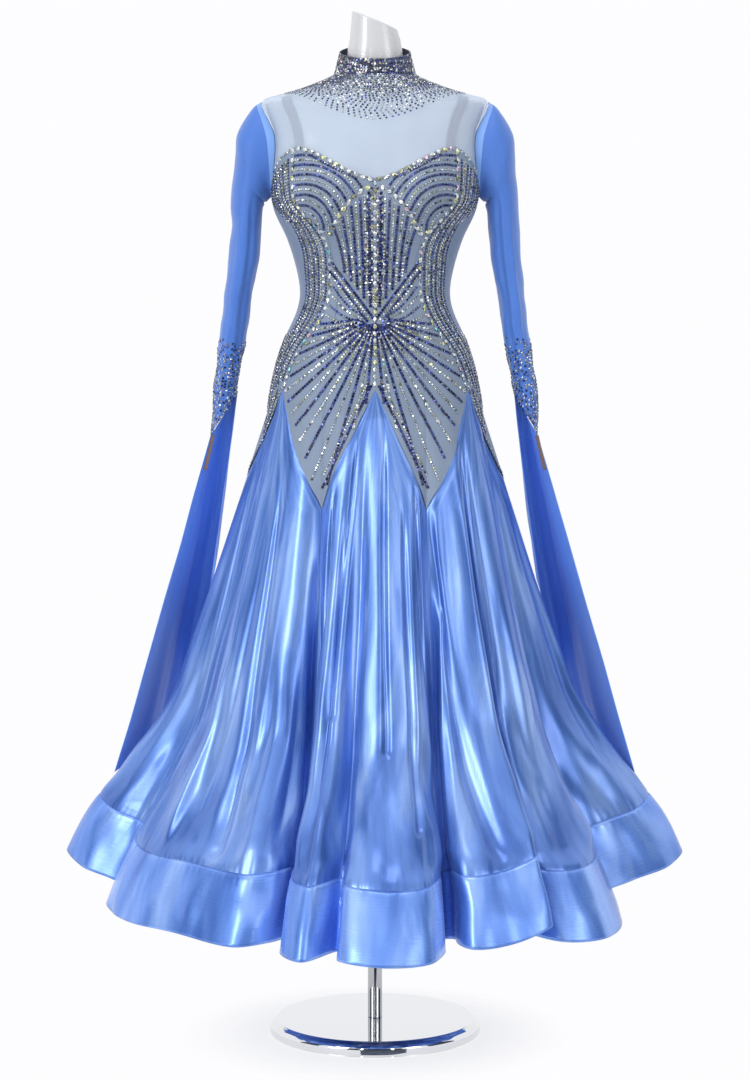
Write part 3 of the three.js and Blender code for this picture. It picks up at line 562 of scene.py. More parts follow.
def side_place(u, v):
    row = v * SIDE_ROWS
    ft, fz = side_front(row)
    back_z = lerp(float(armhole_at(210)[1]), POINT_Z, v)
    at = lerp(ft, 100, u), lerp(fz, back_z, u)
    rim_angle = 120 + np.clip((u - 0.4) / 0.6, 0, 1) * 90
    rt, rz = armhole_at(rim_angle)
    rt = np.where(u < 0.4, np.interp(u, [0, 0.2, 0.4], [CUP_TURN, 60, LOW_TURN]), rt)
    rz = np.where(u < 0.4, np.interp(u, [0, 0.2, 0.4], [1.336, 1.322, LOW_Z]), rz)
    end_t, end_z = (float(a) for a in armhole_at(210))
    fade = (1 - v) ** 2.4
    return at[0] + fade * (rt - lerp(CUP_TURN, end_t, u)), at[1] + fade * (rz - lerp(1.336, end_z, u))


def back_place(u, v):
    turn = lerp(100.0, 180.0, u)
    foot = lerp(POINT_Z, APEX_Z, 1 - np.abs(2 * u - 1))
    return turn, lerp(lerp(float(armhole_at(210)[1]), BACK_TOP_Z, u), foot, v)


def yoke_z(rim_z, lowest, foot):
    below = lerp(SHOULDER_Z, foot, (SHOULDER_Z - rim_z) / (SHOULDER_Z - lowest))
    return np.where(rim_z >= SHOULDER_Z, rim_z, below)


def yoke_rim(v, last_angle):
    """Heights where the yoke's rows meet the armhole, even over the neck and by angle below."""
    round_arm = armhole_at(np.maximum(0, (v - 0.3) / 0.7) * last_angle)[1]
    return np.where(v < 0.3, lerp(NECK_Z, SHOULDER_Z, v / 0.3), round_arm)


def yoke_front_place(u, v):
    rim = yoke_rim(v, 120)
    across = 2 * u - 1
    edge = np.where(rim >= SHOULDER_Z, 90, armhole_turn(rim))
    return across * edge, yoke_z(rim, LOW_Z, sweetheart_z(np.abs(across) * LOW_TURN))


def yoke_back_place(u, v):
    rim = yoke_rim(v, 150)
    low = float(armhole_at(150)[1])
    edge = np.where(rim >= SHOULDER_Z, 90, 180 - armhole_turn(rim))
    return lerp(edge, 180, u), yoke_z(rim, low, lerp(low, BACK_TOP_Z, u))


def collar_at(turn, z):
    seam = skin_at(turn, NECK_Z)
    z = np.broadcast_to(np.asarray(z, float), seam.shape[:-1])
    narrowing = 1 - 0.16 * (z - NECK_Z) / 0.035
    y = seam[..., 1] * narrowing + 0.05 * (z - NECK_Z)
    return np.stack([seam[..., 0] * narrowing, y, z], -1)


def collar_place(u, v):
    turn = lerp(-180.0, 180.0, u)
    return turn, lerp(1.480 - 0.013 * np.cos(np.radians(turn)), NECK_Z + 0.0008, v)


panel("bodice_centre_front", centre_place, 91, 90, BODICE, "bodice_mesh")
for side_name, side in SIDES:
    panel(f"cup_{side_name}", mirror(side, cup_place), 60, 60, BODICE, "bodice_mesh")
    panel(f"bodice_hip_{side_name}", mirror(side, hip_place), 40, 80, BODICE, "bodice_mesh")
    panel(f"bodice_side_{side_name}", mirror(side, side_place), 60, 110, BODICE, "bodice_mesh")
    panel(f"bodice_back_{side_name}", mirror(side, back_place), 61, 90, BODICE, "bodice_mesh")
    panel(f"yoke_back_{side_name}", mirror(side, yoke_back_place), 60, 70, YOKE, "yoke_mesh", YOKE_WALL)
panel("yoke_front", yoke_front_place, 121, 80, YOKE, "yoke_mesh", YOKE_WALL)
panel("collar", collar_place, 120, 14, COLLAR, "bodice_mesh", surface=collar_at, strip=True)


# ---- Skirt ----------------------------------------------------------------------------------------
def make_creases(count, seed):
    """Seeded creases: turn, width, top, foot, height and drift, uneven in all of them."""
    pick = np.random.default_rng(seed)
    rows = []
    for k in range(count):
        turn = (k + pick.uniform(-0.45, 0.45)) * 360 / count - 25
        top = pick.choice([0.985, 0.93, 0.84, 0.72, 0.58], p=[0.3, 0.2, 0.2, 0.15, 0.15])
        top += pick.uniform(-0.03, 0.02)
        foot = max(0.19, top - pick.uniform(0.25, 0.75))
        height = pick.choice([-1, 1]) * min(4.5, 0.6 + pick.exponential(1.3))
        rows.append((turn, pick.uniform(0.7, 3.0), top, foot, height, pick.uniform(-3.5, 3.5)))
    return rows


CREASES = make_creases(92, SEED)
# The largest folds: turn at the top and at the foot, top and foot heights, depth and width.
FOLDS = [
    (-7, -11, 0.96, 0.55, 0.005, 1.1), (4, 7, 0.96, 0.50, 0.006, 1.0),
    (-16, -19, 0.88, 0.42, 0.006, 1.0), (17, 22, 0.87, 0.46, 0.006, 0.9),
    (26, 37, 0.83, 0.27, 0.010, 1.5), (-10, -13.5, 0.90, 0.24, 0.009, 1.2),
    (12, 14, 0.86, 0.40, 0.006, 1.0), (-22, -17, 0.80, 0.25, 0.007, 1.4),
    (47, 52, 0.93, 0.24, 0.006, 1.6), (-48, -44, 0.93, 0.30, 0.005, 1.5),
    (-66, -70, 0.90, 0.36, 0.006, 1.8), (72, 74, 0.88, 0.34, 0.006, 1.8),
    (118, 122, 0.92, 0.26, 0.007, 1.6), (150, 146, 0.90, 0.27, 0.008, 1.5),
    (172, 176, 0.86, 0.30, 0.006, 1.3), (198, 194, 0.91, 0.25, 0.008, 1.5),
    (226, 230, 0.90, 0.30, 0.007, 1.6), (247, 244, 0.87, 0.33, 0.006, 1.8),
]


def crease_height(turn, z):
    d = np.zeros(np.shape(turn))
    reach = ease(APEX_Z + 0.01, 0.5, z)
    for at, width, top, foot, height, drift in CREASES:
        along = np.clip((top - z) / (top - foot), 0, 1)
        delta = np.mod(turn - at - drift * along + 180, 360) - 180
        shape = np.sin(pi * along) ** 0.8 * (z < top) * (z > foot)
        d += height * 0.001 * np.exp(-(delta / width) ** 2) * shape * (0.6 + 0.4 * reach)
    low = ease(0.80, 0.33, z)
    d += 0.0034 * noise(turn / 6, z / 0.21 + 0.04 * turn, 3, 60) * (0.25 + 0.75 * low)
    for top_turn, foot_turn, top, foot, depth, width in FOLDS:
        along = np.clip((top - z) / (top - foot), 0, 1)
        delta = np.mod(turn - lerp(top_turn, foot_turn, along) + 180, 360) - 180
        d -= depth * np.exp(-(delta / width) ** 2) * ease(0, 0.35, along) * (z > foot - 0.03)
    d += 0.0011 * noise(turn / 2.5, z / 0.12, 7, 144) * (0.2 + 0.8 * low)
    d += 0.0050 * noise(turn / 7.5, z / 0.100 + 0.04 * turn, 17, 48) * ease(0.66, 0.44, z)
    d += 0.0036 * noise(turn / 4.5, z / 0.060 + 0.05 * turn, 11, 80) * ease(0.56, 0.40, z)
    d += 0.0018 * noise(turn / 2.0, z / 0.040, 13, 180) * ease(0.50, 0.36, z)
    return d


def band_z(turn):
    return lerp(HIP_Z, hem_at(turn)[..., 2], BAND_START)


def gore_grid(start, end, apex, columns, rows):
    u = np.linspace(0, 1, columns)
    v = np.concatenate([np.linspace(0.004, 1, rows // 4), 1 + np.linspace(0, 1, rows)[1:]])
    u, v = np.meshgrid(u, v)
    flat_turn = lerp(start, end, u)
    turn = lerp(apex, flat_turn, np.minimum(v, 1))
    foot = band_z(turn) - 0.004
    z = np.where(v <= 1, lerp(APEX_Z, POINT_Z, v), lerp(POINT_Z, foot, v - 1))
    seam = np.exp(-((z - band_z(turn)) / 0.0022) ** 2)
    pucker = noise(turn * 2.2, 0.5 + 0 * z, 21, 792) * np.exp(-((z - band_z(turn)) / 0.016) ** 2)
    edge = np.minimum(u, 1 - u) * np.abs(end - start) * 0.010 * np.clip(v - 0.6, 0.1, 1)
    near_band = ease(0.002, 0.030, z - band_z(turn))
    by = cloth_offset(z, GORE_WALL) + crease_height(turn, z) * near_band - 0.0010 * seam + 0.0009 * pucker
    by -= 0.0022 * ease(0.0006, -0.0014, z - band_z(turn))
    by -= 0.0011 * np.exp(-(edge / 0.0028) ** 2) * ease(1.0, 0.95, z)
    by -= 0.015 * np.exp(-(edge / 0.019) ** 2) * ease(0.78, 0.56, z)
    return lifted(surface_at, turn, z, by)


def band_grid(start, end, columns, rows):
    u, v = np.meshgrid(np.linspace(0, 1, columns), np.linspace(0, 1, rows))
    turn = lerp(start, end, u)
    z = lerp(band_z(turn), hem_at(turn)[..., 2], v)
    d = 0.0020 * noise(turn / 3.2, z / 0.045 + 0.1 * turn, 31, 112)
    d += 0.0028 * noise(turn / 7.2, z / 0.09, 33, 50)
    pucker = noise(turn * 2.2, 0.5 + 0 * z, 21, 792) * np.exp(-(v / 0.13) ** 2)
    edge = np.minimum(u, 1 - u) * np.abs(end - start) * 0.010
    by = cloth_offset(z, BAND_WALL) + d * ease(0.0, 0.35, v)
    by += 0.0008 * pucker - 0.0012 * np.exp(-(v / 0.022) ** 2)
    by += 0.0005 * np.exp(-((1 - v) / 0.05) ** 2) - 0.001 * np.exp(-(edge / 0.0028) ** 2)
    by -= 0.015 * np.exp(-(edge / 0.019) ** 2)
    return lifted(surface_at, turn, z, by)


for g, (gore, start, apex, _) in enumerate(HEM):
    end = HEM[g + 1][1] if g + 1 < len(HEM) else HEM[0][1] + 360
    columns = 190 if gore == "centre_front" else 250
    cloth(f"gore_{gore}", gore_grid(start, end, apex, columns, 98), SATIN, "satin", "hung", ["form_torso"])
    cloth(f"hem_band_{gore}", band_grid(start, end, columns, 22), SATIN_BAND, "satin", "hung",
          [f"gore_{gore}_cloth"], wall=0.0018, strip=True)


# ---- Sleeves --------------------------------------------------------------------------------------
SLEEVE_COLUMNS = 96
SEAM_ROWS = 3
# Soft folds down a wing: place across, width and height in millimetres.
WING_FOLDS = [(0.18, 0.05, 3.0), (0.34, 0.045, -4.0), (0.55, 0.07, 3.5), (0.74, 0.05, -3.0), (0.9, 0.04, 1.5)]


def cap_ring(row, angle):
    x, z, rise, length, half_depth = row
    reach = length / 2 * (1 + np.cos(angle))
    return np.stack([
        x + reach * cos(radians(rise)), -half_depth * np.sin(angle), z + reach * sin(radians(rise))], -1)


def arm_ring(row, angle):
    z, inner, outer, half_depth, drop = row
    x = (inner + outer) / 2 + (outer - inner) / 2 * np.cos(angle)
    return np.stack([x, -half_depth * np.sin(angle), z - drop * np.cos(angle)], -1)


def sleeve_rings(angle):
    turn, z = armhole_at(np.degrees(angle), 0.0022)
    first = lifted(skin_at, turn, z, CLOTH_OFF + 0.0008)
    cap = [cap_ring(row, angle) for row in SLEEVE_CAP]
    arm = [arm_ring(row, angle) for row in SLEEVE_ARM]
    return np.stack([first] + cap + arm)


def sleeve_grid(side, around=SLEEVE_COLUMNS, rows=190):
    angle = np.linspace(0, 2 * pi, around, endpoint=False)
    rings = sleeve_rings(angle)
    middle = rings.mean(axis=1)
    run = np.concatenate([[0], np.cumsum(np.linalg.norm(np.diff(middle, axis=0), axis=-1))])
    at = np.linspace(0, run[-1], rows)
    flat_rings = rings.reshape(len(rings), -1)
    p = smooth(run, flat_rings, at).reshape(rows, around, 3)
    across = np.roll(p, -1, axis=1) - np.roll(p, 1, axis=1)
    down = np.gradient(p, axis=0)
    n = np.cross(across, down)
    n /= np.maximum(np.linalg.norm(n, axis=-1, keepdims=True), 1e-9)
    outward = np.sign((n * (p - p.mean(axis=1, keepdims=True))).sum(axis=-1).mean())
    a, s = np.meshgrid(angle, at / run[-1])
    elbow = np.exp(-((s - 0.55) / 0.2) ** 2)
    d = -0.0035 * np.exp(-((a - pi * 0.62 - 0.25 * s) / 0.22) ** 2) * ease(0.12, 0.3, s) * ease(1, 0.85, s)
    d += 0.0022 * np.exp(-((a - pi * 0.38 - 0.1 * s) / 0.16) ** 2) * ease(0.2, 0.45, s)
    d += 0.0022 * noise(a * 9 / (2 * pi), s * 12, 41 + side, 9) * elbow
    d += 0.0016 * noise(a * 5 / (2 * pi), s * 16, 43 + side, 5) * ease(0.05, 0.2, s)
    d += -0.0030 * np.exp(-((s - 0.19 - 0.05 * np.cos(a)) / 0.018) ** 2) * ease(0, -1, np.cos(a))
    p = p + outward * n * (d * ease(0, 0.03, s))[..., None]
    p[..., 0] *= side
    return p


def wing_start(u):
    z, inner, outer, half_depth, drop = SLEEVE_ARM[-1]
    angle = -pi * u
    x = (inner + outer) / 2 + (outer - inner) / 2 * np.cos(angle)
    return np.stack([x, -half_depth * np.sin(angle), z - drop * np.cos(angle) - 0.0004], -1)


def wing_grid(side, columns=60, rows=110):
    u, v = np.meshgrid(np.linspace(0, 1, columns), np.linspace(0, 1, rows))
    end = smooth(np.linspace(0, 1, len(WING_EDGE)), WING_EDGE, u)
    p = lerp(wing_start(u), end, v[..., None])
    belly = np.sin(pi * v) * np.sin(pi * u)
    p = p + np.stack([-0.006 * belly, 0.010 * belly, 0 * belly], -1)
    n = np.cross(np.gradient(p, axis=1), np.gradient(p, axis=0))
    n /= np.maximum(np.linalg.norm(n, axis=-1, keepdims=True), 1e-9)
    d = 0
    for at, width, height in WING_FOLDS:
        d = d + height * 0.001 * np.exp(-((u - at - 0.05 * (v - 0.5)) / width) ** 2) * ease(0, 0.5, v)
    d = d + 0.0012 * noise(u * 5, v * 6, 51 + side)
    p = p + n * d[..., None]
    p[..., 0] *= side
    return p


def strip_solid(name, inner, outer, material, node, ringed=False):
    """A closed strip between two grids of points."""
    rows, columns = inner.shape[:2]
    count = rows * columns
    faces = [f[::-1] for f in grid_faces(rows, columns, ringed)]
    faces += [[i + count for i in reversed(f)] for f in faces]
    spans = columns if ringed else columns - 1
    for r, flipped in ((0, False), (rows - 1, True)):
        for c in range(spans):
            a, b = r * columns + c, r * columns + (c + 1) % columns
            quad = [a, b, b + count, a + count]
            faces.append(quad[::-1] if flipped else quad)
    if not ringed:
        for c, flipped in ((0, True), (columns - 1, False)):
            for r in range(rows - 1):
                a, b = r * columns + c, (r + 1) * columns + c
                quad = [a, b, b + count, a + count]
                faces.append(quad[::-1] if flipped else quad)
    obj = new_object(name, np.concatenate([inner.reshape(-1, 3), outer.reshape(-1, 3)]), faces,
                     uv=np.vstack([cloth_uv(inner), cloth_uv(outer)]))
    return finish_piece(obj, material, [node])


def strap_grid(side, by, count=90):
    t = np.linspace(0, 1, count)
    at = np.linspace(0, 1, len(STRAP))
    place = lambda t: smooth(at, STRAP, t)
    tz, before, after = place(t), place(np.maximum(0, t - 0.01)), place(np.minimum(1, t + 0.01))
    turn, z = tz[:, 0], tz[:, 1]
    run = skin_at(after[:, 0], after[:, 1]) - skin_at(before[:, 0], before[:, 1])
    run /= np.linalg.norm(run, axis=-1, keepdims=True)
    per_turn = skin_at(turn + 0.5, z) - skin_at(turn - 0.5, z)
    per_z = (skin_at(turn, z + 0.0005) - skin_at(turn, z - 0.0005)) * 1000
    normal = np.cross(per_turn, per_z)
    across = np.cross(run, normal)
    across *= STRAP_WIDTH / 2 / np.linalg.norm(across, axis=-1, keepdims=True)
    scale = (normal ** 2).sum(-1)
    turn_step = (np.cross(across, per_z) * normal).sum(-1) / scale
    z_step = (np.cross(per_turn, across) * normal).sum(-1) / scale
    edges = np.linspace(-1, 1, 5)
    turns = side * (turn[:, None] + edges * turn_step[:, None])
    return lifted(skin_at, turns, z[:, None] + edges * z_step[:, None], by)


def loop_grid(by, side, segments=12):
    radius, straight = 0.0015 + by, 0.048
    path = []
    for end in (0, 1):
        for k in range(segments + 1):
            angle = pi * k / segments + (pi if end else 0)
            path.append((radius * cos(angle), (-straight if end else 0) + radius * sin(angle)))
    path = np.array(path)
    z, inner, outer, half_depth, drop = SLEEVE_ARM[-1]
    rows = []
    for edge in np.linspace(-0.5, 0.5, 4):
        rows.append(np.stack([
            side * (outer - 0.002 - tan(radians(13)) * path[:, 1] + edge * 0.005),
            path[:, 0] - 0.011, z - drop + path[:, 1] - 0.004], -1))
    return np.stack(rows)


for side_name, side in SIDES:
    grid = sleeve_grid(side)
    sleeve = cloth(f"sleeve_{side_name}", grid, [SLEEVE, SLEEVE_SEAM], "sleeve_mesh", "hung",
                   ["yoke_front_cloth"], ringed=True)
    for polygon in sleeve.data.polygons:
        if polygon.vertices[0] // SLEEVE_COLUMNS < SEAM_ROWS:
            polygon.material_index = 1
    cloth(f"wing_{side_name}", wing_grid(side), WING, "sleeve_mesh", "hung",
          [f"sleeve_{side_name}_cloth"], wall=0.0006)
    strip_solid(f"strap_{side_name}_band", strap_grid(side, 0.0), strap_grid(side, 0.0009),
                ELASTIC, f"strap_{side_name}")
    strip_solid(f"finger_loop_{side_name}_band", loop_grid(0, side), loop_grid(0.0008, side),
                ELASTIC, f"finger_loop_{side_name}", ringed=True)


# ---- Form and stand ---------------------------------------------------------------------------------
def turned(name, profile, material, node, segments=160):
    """A solid of revolution; the profile runs up from the axis and back to it."""
    ring = np.linspace(0, 2 * pi, segments, endpoint=False)
    rows = [np.stack([r * np.cos(ring), r * np.sin(ring), np.full(segments, z)], -1) for r, z in profile]
    p = np.stack(rows)
    verts = np.concatenate([p.reshape(-1, 3), [(0, 0, profile[0][1]), (0, 0, profile[-1][1])]])
    last = len(profile) - 1
    faces = [f[::-1] for f in grid_faces(len(profile), segments, True)]
    first_centre, last_centre = len(profile) * segments, len(profile) * segments + 1
    for c in range(segments):
        d = (c + 1) % segments
        faces.append([first_centre, d, c])
        faces.append([last_centre, last * segments + c, last * segments + d])
    obj = new_object(name, verts, faces)
    obj.data.polygons.foreach_set("use_smooth", [len(p.vertices) == 4 for p in obj.data.polygons])
    return finish_piece(obj, material, [node])


def rounded(points, radius, steps=6):
    """A profile with each inner corner rounded."""
    made = [points[0]]
    for before, here, after in zip(points, points[1:], points[2:]):
        here_v, b, a = np.array(here), np.array(before), np.array(after)
        db, da = b - here_v, a - here_v
        r = min(radius, np.linalg.norm(db) / 2, np.linalg.norm(da) / 2)
        p, q = here_v + db / np.linalg.norm(db) * r, here_v + da / np.linalg.norm(da) * r
        for t in np.linspace(0, 1, steps):
            made.append(tuple((1 - t) ** 2 * p + 2 * t * (1 - t) * here_v + t * t * q))
    return made + [points[-1]]


FORM_COLUMNS = 128
NECK_TOP_Z, NECK_SLOPE = 1.526, 0.42
LIP_HEIGHT = 0.0013
form_rows = np.concatenate([np.linspace(FORM_FOOT_Z, 1.40, 90), np.linspace(1.403, 1.50, 50)])
form_turns = np.arange(FORM_COLUMNS) * 360 / FORM_COLUMNS
turn_grid, z_grid = np.meshgrid(form_turns, form_rows)
form_points = lifted(skin_at, turn_grid, z_grid, -FORM_INSET)
rim = lifted(skin_at, form_turns, NECK_TOP_Z, -FORM_INSET)
rim[:, 2] = NECK_TOP_Z - NECK_SLOPE * rim[:, 0]
neck = [lerp(form_points[-1], rim, t) for t in (0.35, 0.7, 0.93)]
middle = rim.mean(axis=0)
lip_steps = ((0.0, 0.0), (0.035, 0.0009), (0.09, LIP_HEIGHT), (0.5, LIP_HEIGHT))
lip = [lerp(rim, middle, t) + np.array([0, 0, h]) for t, h in lip_steps]
rings = np.concatenate([form_points, neck, lip])
foot_centre, top_centre = form_points[0].mean(axis=0), middle + np.array([0, 0, LIP_HEIGHT])
verts = np.concatenate([rings.reshape(-1, 3), [foot_centre, top_centre]])
faces = [f[::-1] for f in grid_faces(len(rings), FORM_COLUMNS, True)]
last_ring, centre = (len(rings) - 1) * FORM_COLUMNS, len(rings) * FORM_COLUMNS
for c in range(FORM_COLUMNS):
    d = (c + 1) % FORM_COLUMNS
    faces.append([centre, d, c])
    faces.append([centre + 1, last_ring + c, last_ring + d])
finish_piece(new_object("form_body", verts, faces), FORM, ["form_torso"])

# Profiles as (radius, height)
BASE = [(0.001, 0.0), (0.1585, 0.0), (0.161, 0.0025), (0.161, 0.0135), (0.157, 0.0185), (0.152, 0.0205),
        (0.150, 0.022), (0.001, 0.022)]
POLE = [(0.001, 0.0223), (POLE_RADIUS, 0.0223), (POLE_RADIUS, 0.7997), (0.001, 0.7997)]
turned("base_plate", rounded(BASE, 0.0022), CHROME, "stand_base")
turned("pole_tube", rounded(POLE, 0.0006), POLE_CHROME, "stand_pole", 96)


# ---- Stones ---------------------------------------------------------------------------------------
class Stones:
    """Stones set on a surface: where, which way up, how large and of what kind."""

    def __init__(self):
        self.rows = []

    def add(self, points, normals, tangents, length, width, kinds):
        for p, n, t, k in zip(points, normals, tangents, kinds):
            self.rows.append((p, n, t, length, width, k))

    def build(self, name):
        small = [r for r in self.rows if r[3] < 0.0055]
        large = [r for r in self.rows if r[3] >= 0.0055]
        for label, rows, sides, levels in (
            ("small", small, 6, ((1.0, -0.10), (1.0, 0.12), (0.62, 0.46))),
            ("large", large, 8, ((1.0, -0.10), (1.0, 0.10), (0.74, 0.40), (0.42, 0.56))),
        ):
            if not rows:
                continue
            angle = np.arange(sides) * 2 * pi / sides
            ring = np.stack([np.cos(angle), np.sin(angle)], -1)
            if sides == 8:
                ring[:, 1] *= 1 - 0.25 * np.abs(ring[:, 0]) ** 2
            shape = np.concatenate([np.column_stack([ring * s, np.full(sides, h)]) for s, h in levels])
            p, n, t = (np.array([r[k] for r in rows]) for k in range(3))
            t = t - n * (t * n).sum(-1, keepdims=True)
            t /= np.maximum(np.linalg.norm(t, axis=-1, keepdims=True), 1e-9)
            b = np.cross(n, t)
            length = np.array([r[3] for r in rows])[:, None, None] / 2
            width = np.array([r[4] for r in rows])[:, None, None] / 2
            verts = (
                p[:, None] + length * shape[None, :, 0, None] * t[:, None]
                + width * shape[None, :, 1, None] * b[:, None] + width * shape[None, :, 2, None] * n[:, None])
            # The sides of every stone and some of its crown facets take the smoke crystal: painted shade
            # round each stone's seat and painted dark reflections on its facets.
            smoke = KINDS.index("smoke")
            base_faces, painted_shade_faces = [], []
            for level in range(len(levels) - 1):
                for c in range(sides):
                    d = (c + 1) % sides
                    low, high = level * sides, (level + 1) * sides
                    base_faces.append([low + c, low + d, high + d, high + c])
                    slope = c % 2 == 0 if sides == 6 else level == 1 and c % 3 == 0
                    painted_shade_faces.append(level == 0 or slope)
            base_faces.append([(len(levels) - 1) * sides + c for c in range(sides)])
            painted_shade_faces.append(False)
            faces, index = [], []
            for s, r in enumerate(rows):
                own = KINDS.index(r[5])
                faces += [[i + s * len(shape) for i in f] for f in base_faces]
                index += [smoke if dark else own for dark in painted_shade_faces]
            obj = new_object(f"{name}_{label}", verts.reshape(-1, 3), faces, smoothed=False)
            finish_piece(obj, list(CRYSTALS.values()))
            obj.data.polygons.foreach_set("material_index", index)


pick = np.random.default_rng(SEED + 1)
MIXES = {
    "silver": (["silver", "ice", "smoke", "lime", "olive"], [0.56, 0.18, 0.06, 0.10, 0.10]),
    "dark": (["sapphire", "navy"], [0.45, 0.55]),
    "ab": (["silver", "lime", "aqua", "rose", "olive", "ice"], [0.50, 0.20, 0.06, 0.06, 0.10, 0.08]),
    "mixed": (["silver", "smoke", "ice", "rose", "sapphire", "navy", "olive", "lime"],
              [0.28, 0.20, 0.09, 0.07, 0.18, 0.10, 0.04, 0.04]),
    "neck": (["silver", "smoke", "ice", "rose", "sapphire", "navy", "olive"],
             [0.19, 0.38, 0.07, 0.07, 0.10, 0.15, 0.04]),
}


def kinds_of(mix, count):
    names, shares = MIXES[mix]
    return pick.choice(names, size=count, p=shares)


def stone_offset(z):
    return cloth_offset(z, BODICE_WALL)


TABLE_Z = np.arange(0.780, 1.352, 0.004)
TABLE_TURN = np.arange(-94.0, 94.1, 1.0)
TABLE_X = lifted(surface_at, *np.meshgrid(TABLE_TURN, TABLE_Z), 0.0056)[..., 0]


def front_turn(x, z):
    """The turn at which the cloth's surface has this x, on the wearer's front."""
    x, z = np.broadcast_arrays(np.asarray(x, float), np.asarray(z, float))
    row = np.clip((z - TABLE_Z[0]) / 0.004, 0, len(TABLE_Z) - 1.001)
    low = row.astype(int)
    turns = [lerp(np.interp(a, TABLE_X[i], TABLE_TURN), np.interp(a, TABLE_X[i + 1], TABLE_TURN), f)
             for a, i, f in zip(x.ravel(), low.ravel(), (row - low).ravel())]
    return np.array(turns).reshape(x.shape)


def line(stones, turn, z, pitch, length, width, mix, slant=0.0, surface=surface_at,
         offset=stone_offset, skip=0.0):
    """Stones at an even pitch along a line of turns and heights."""
    turn, z = np.asarray(turn, float), np.asarray(z, float)
    p = lifted(surface, turn, z, offset(z))
    run = np.concatenate([[0], np.cumsum(np.linalg.norm(np.diff(p, axis=0), axis=-1))])
    count = int(run[-1] / pitch)
    if count < 1:
        return
    at = (np.arange(count + 1) + 0.3 * skip) * (run[-1] / max(count, 1))
    at = at[at <= run[-1] + 1e-9]
    turn, z = np.interp(at, run, turn), np.interp(at, run, z)
    place = lifted(surface, turn, z, offset(z))
    n = normal_at(surface, turn, z)
    tangent = np.gradient(place, axis=0) if len(place) > 1 else np.tile([0.0, 0.0, 1.0], (1, 1))
    if slant:
        sign = np.where(np.arange(len(place)) % 2, 1, -1)[:, None]
        tangent = tangent / np.linalg.norm(tangent, axis=-1, keepdims=True)
        tangent = tangent + sign * slant * np.cross(n, tangent)
    tilt = pick.normal(0, 0.16, place.shape)
    n = n + tilt
    n /= np.linalg.norm(n, axis=-1, keepdims=True)
    stones.add(place, n, tangent, length, width, kinds_of(mix, len(place)))


def front_line(stones, xs, zs, *args, **kwargs):
    line(stones, front_turn(xs, zs), zs, *args, **kwargs)


PITCH, SMALL, DARK = 0.0045, 0.0042, 0.0053
WAIST_Z = 1.092
bodice = Stones()
sides_stones = Stones()
zs_princess = np.linspace(1.218, APEX_Z + 0.006, 120)
princess_turns = smooth(PRINCESS[:, 0], PRINCESS[:, 1], zs_princess)


def lower_edge_z(x):
    """The bodice's lower edge in front, by x."""
    return np.interp(np.abs(x), [0, 0.083, 0.137, 0.150], [0.988, 0.816, 0.990, 0.955])


def princess_x(z):
    return lifted(surface_at, smooth(PRINCESS[:, 0], PRINCESS[:, 1], z), z, stone_offset(z))[..., 0]


Z_TABLE = np.linspace(APEX_Z, 1.22, 60)
X_TABLE = princess_x(Z_TABLE)

# Short rays beside the waist: height of the end, kind of stone.
SHORT_RAYS = [(1.148, "silver"), (1.133, "dark"), (1.119, "silver"), (1.105, "dark"), (1.091, "silver")]

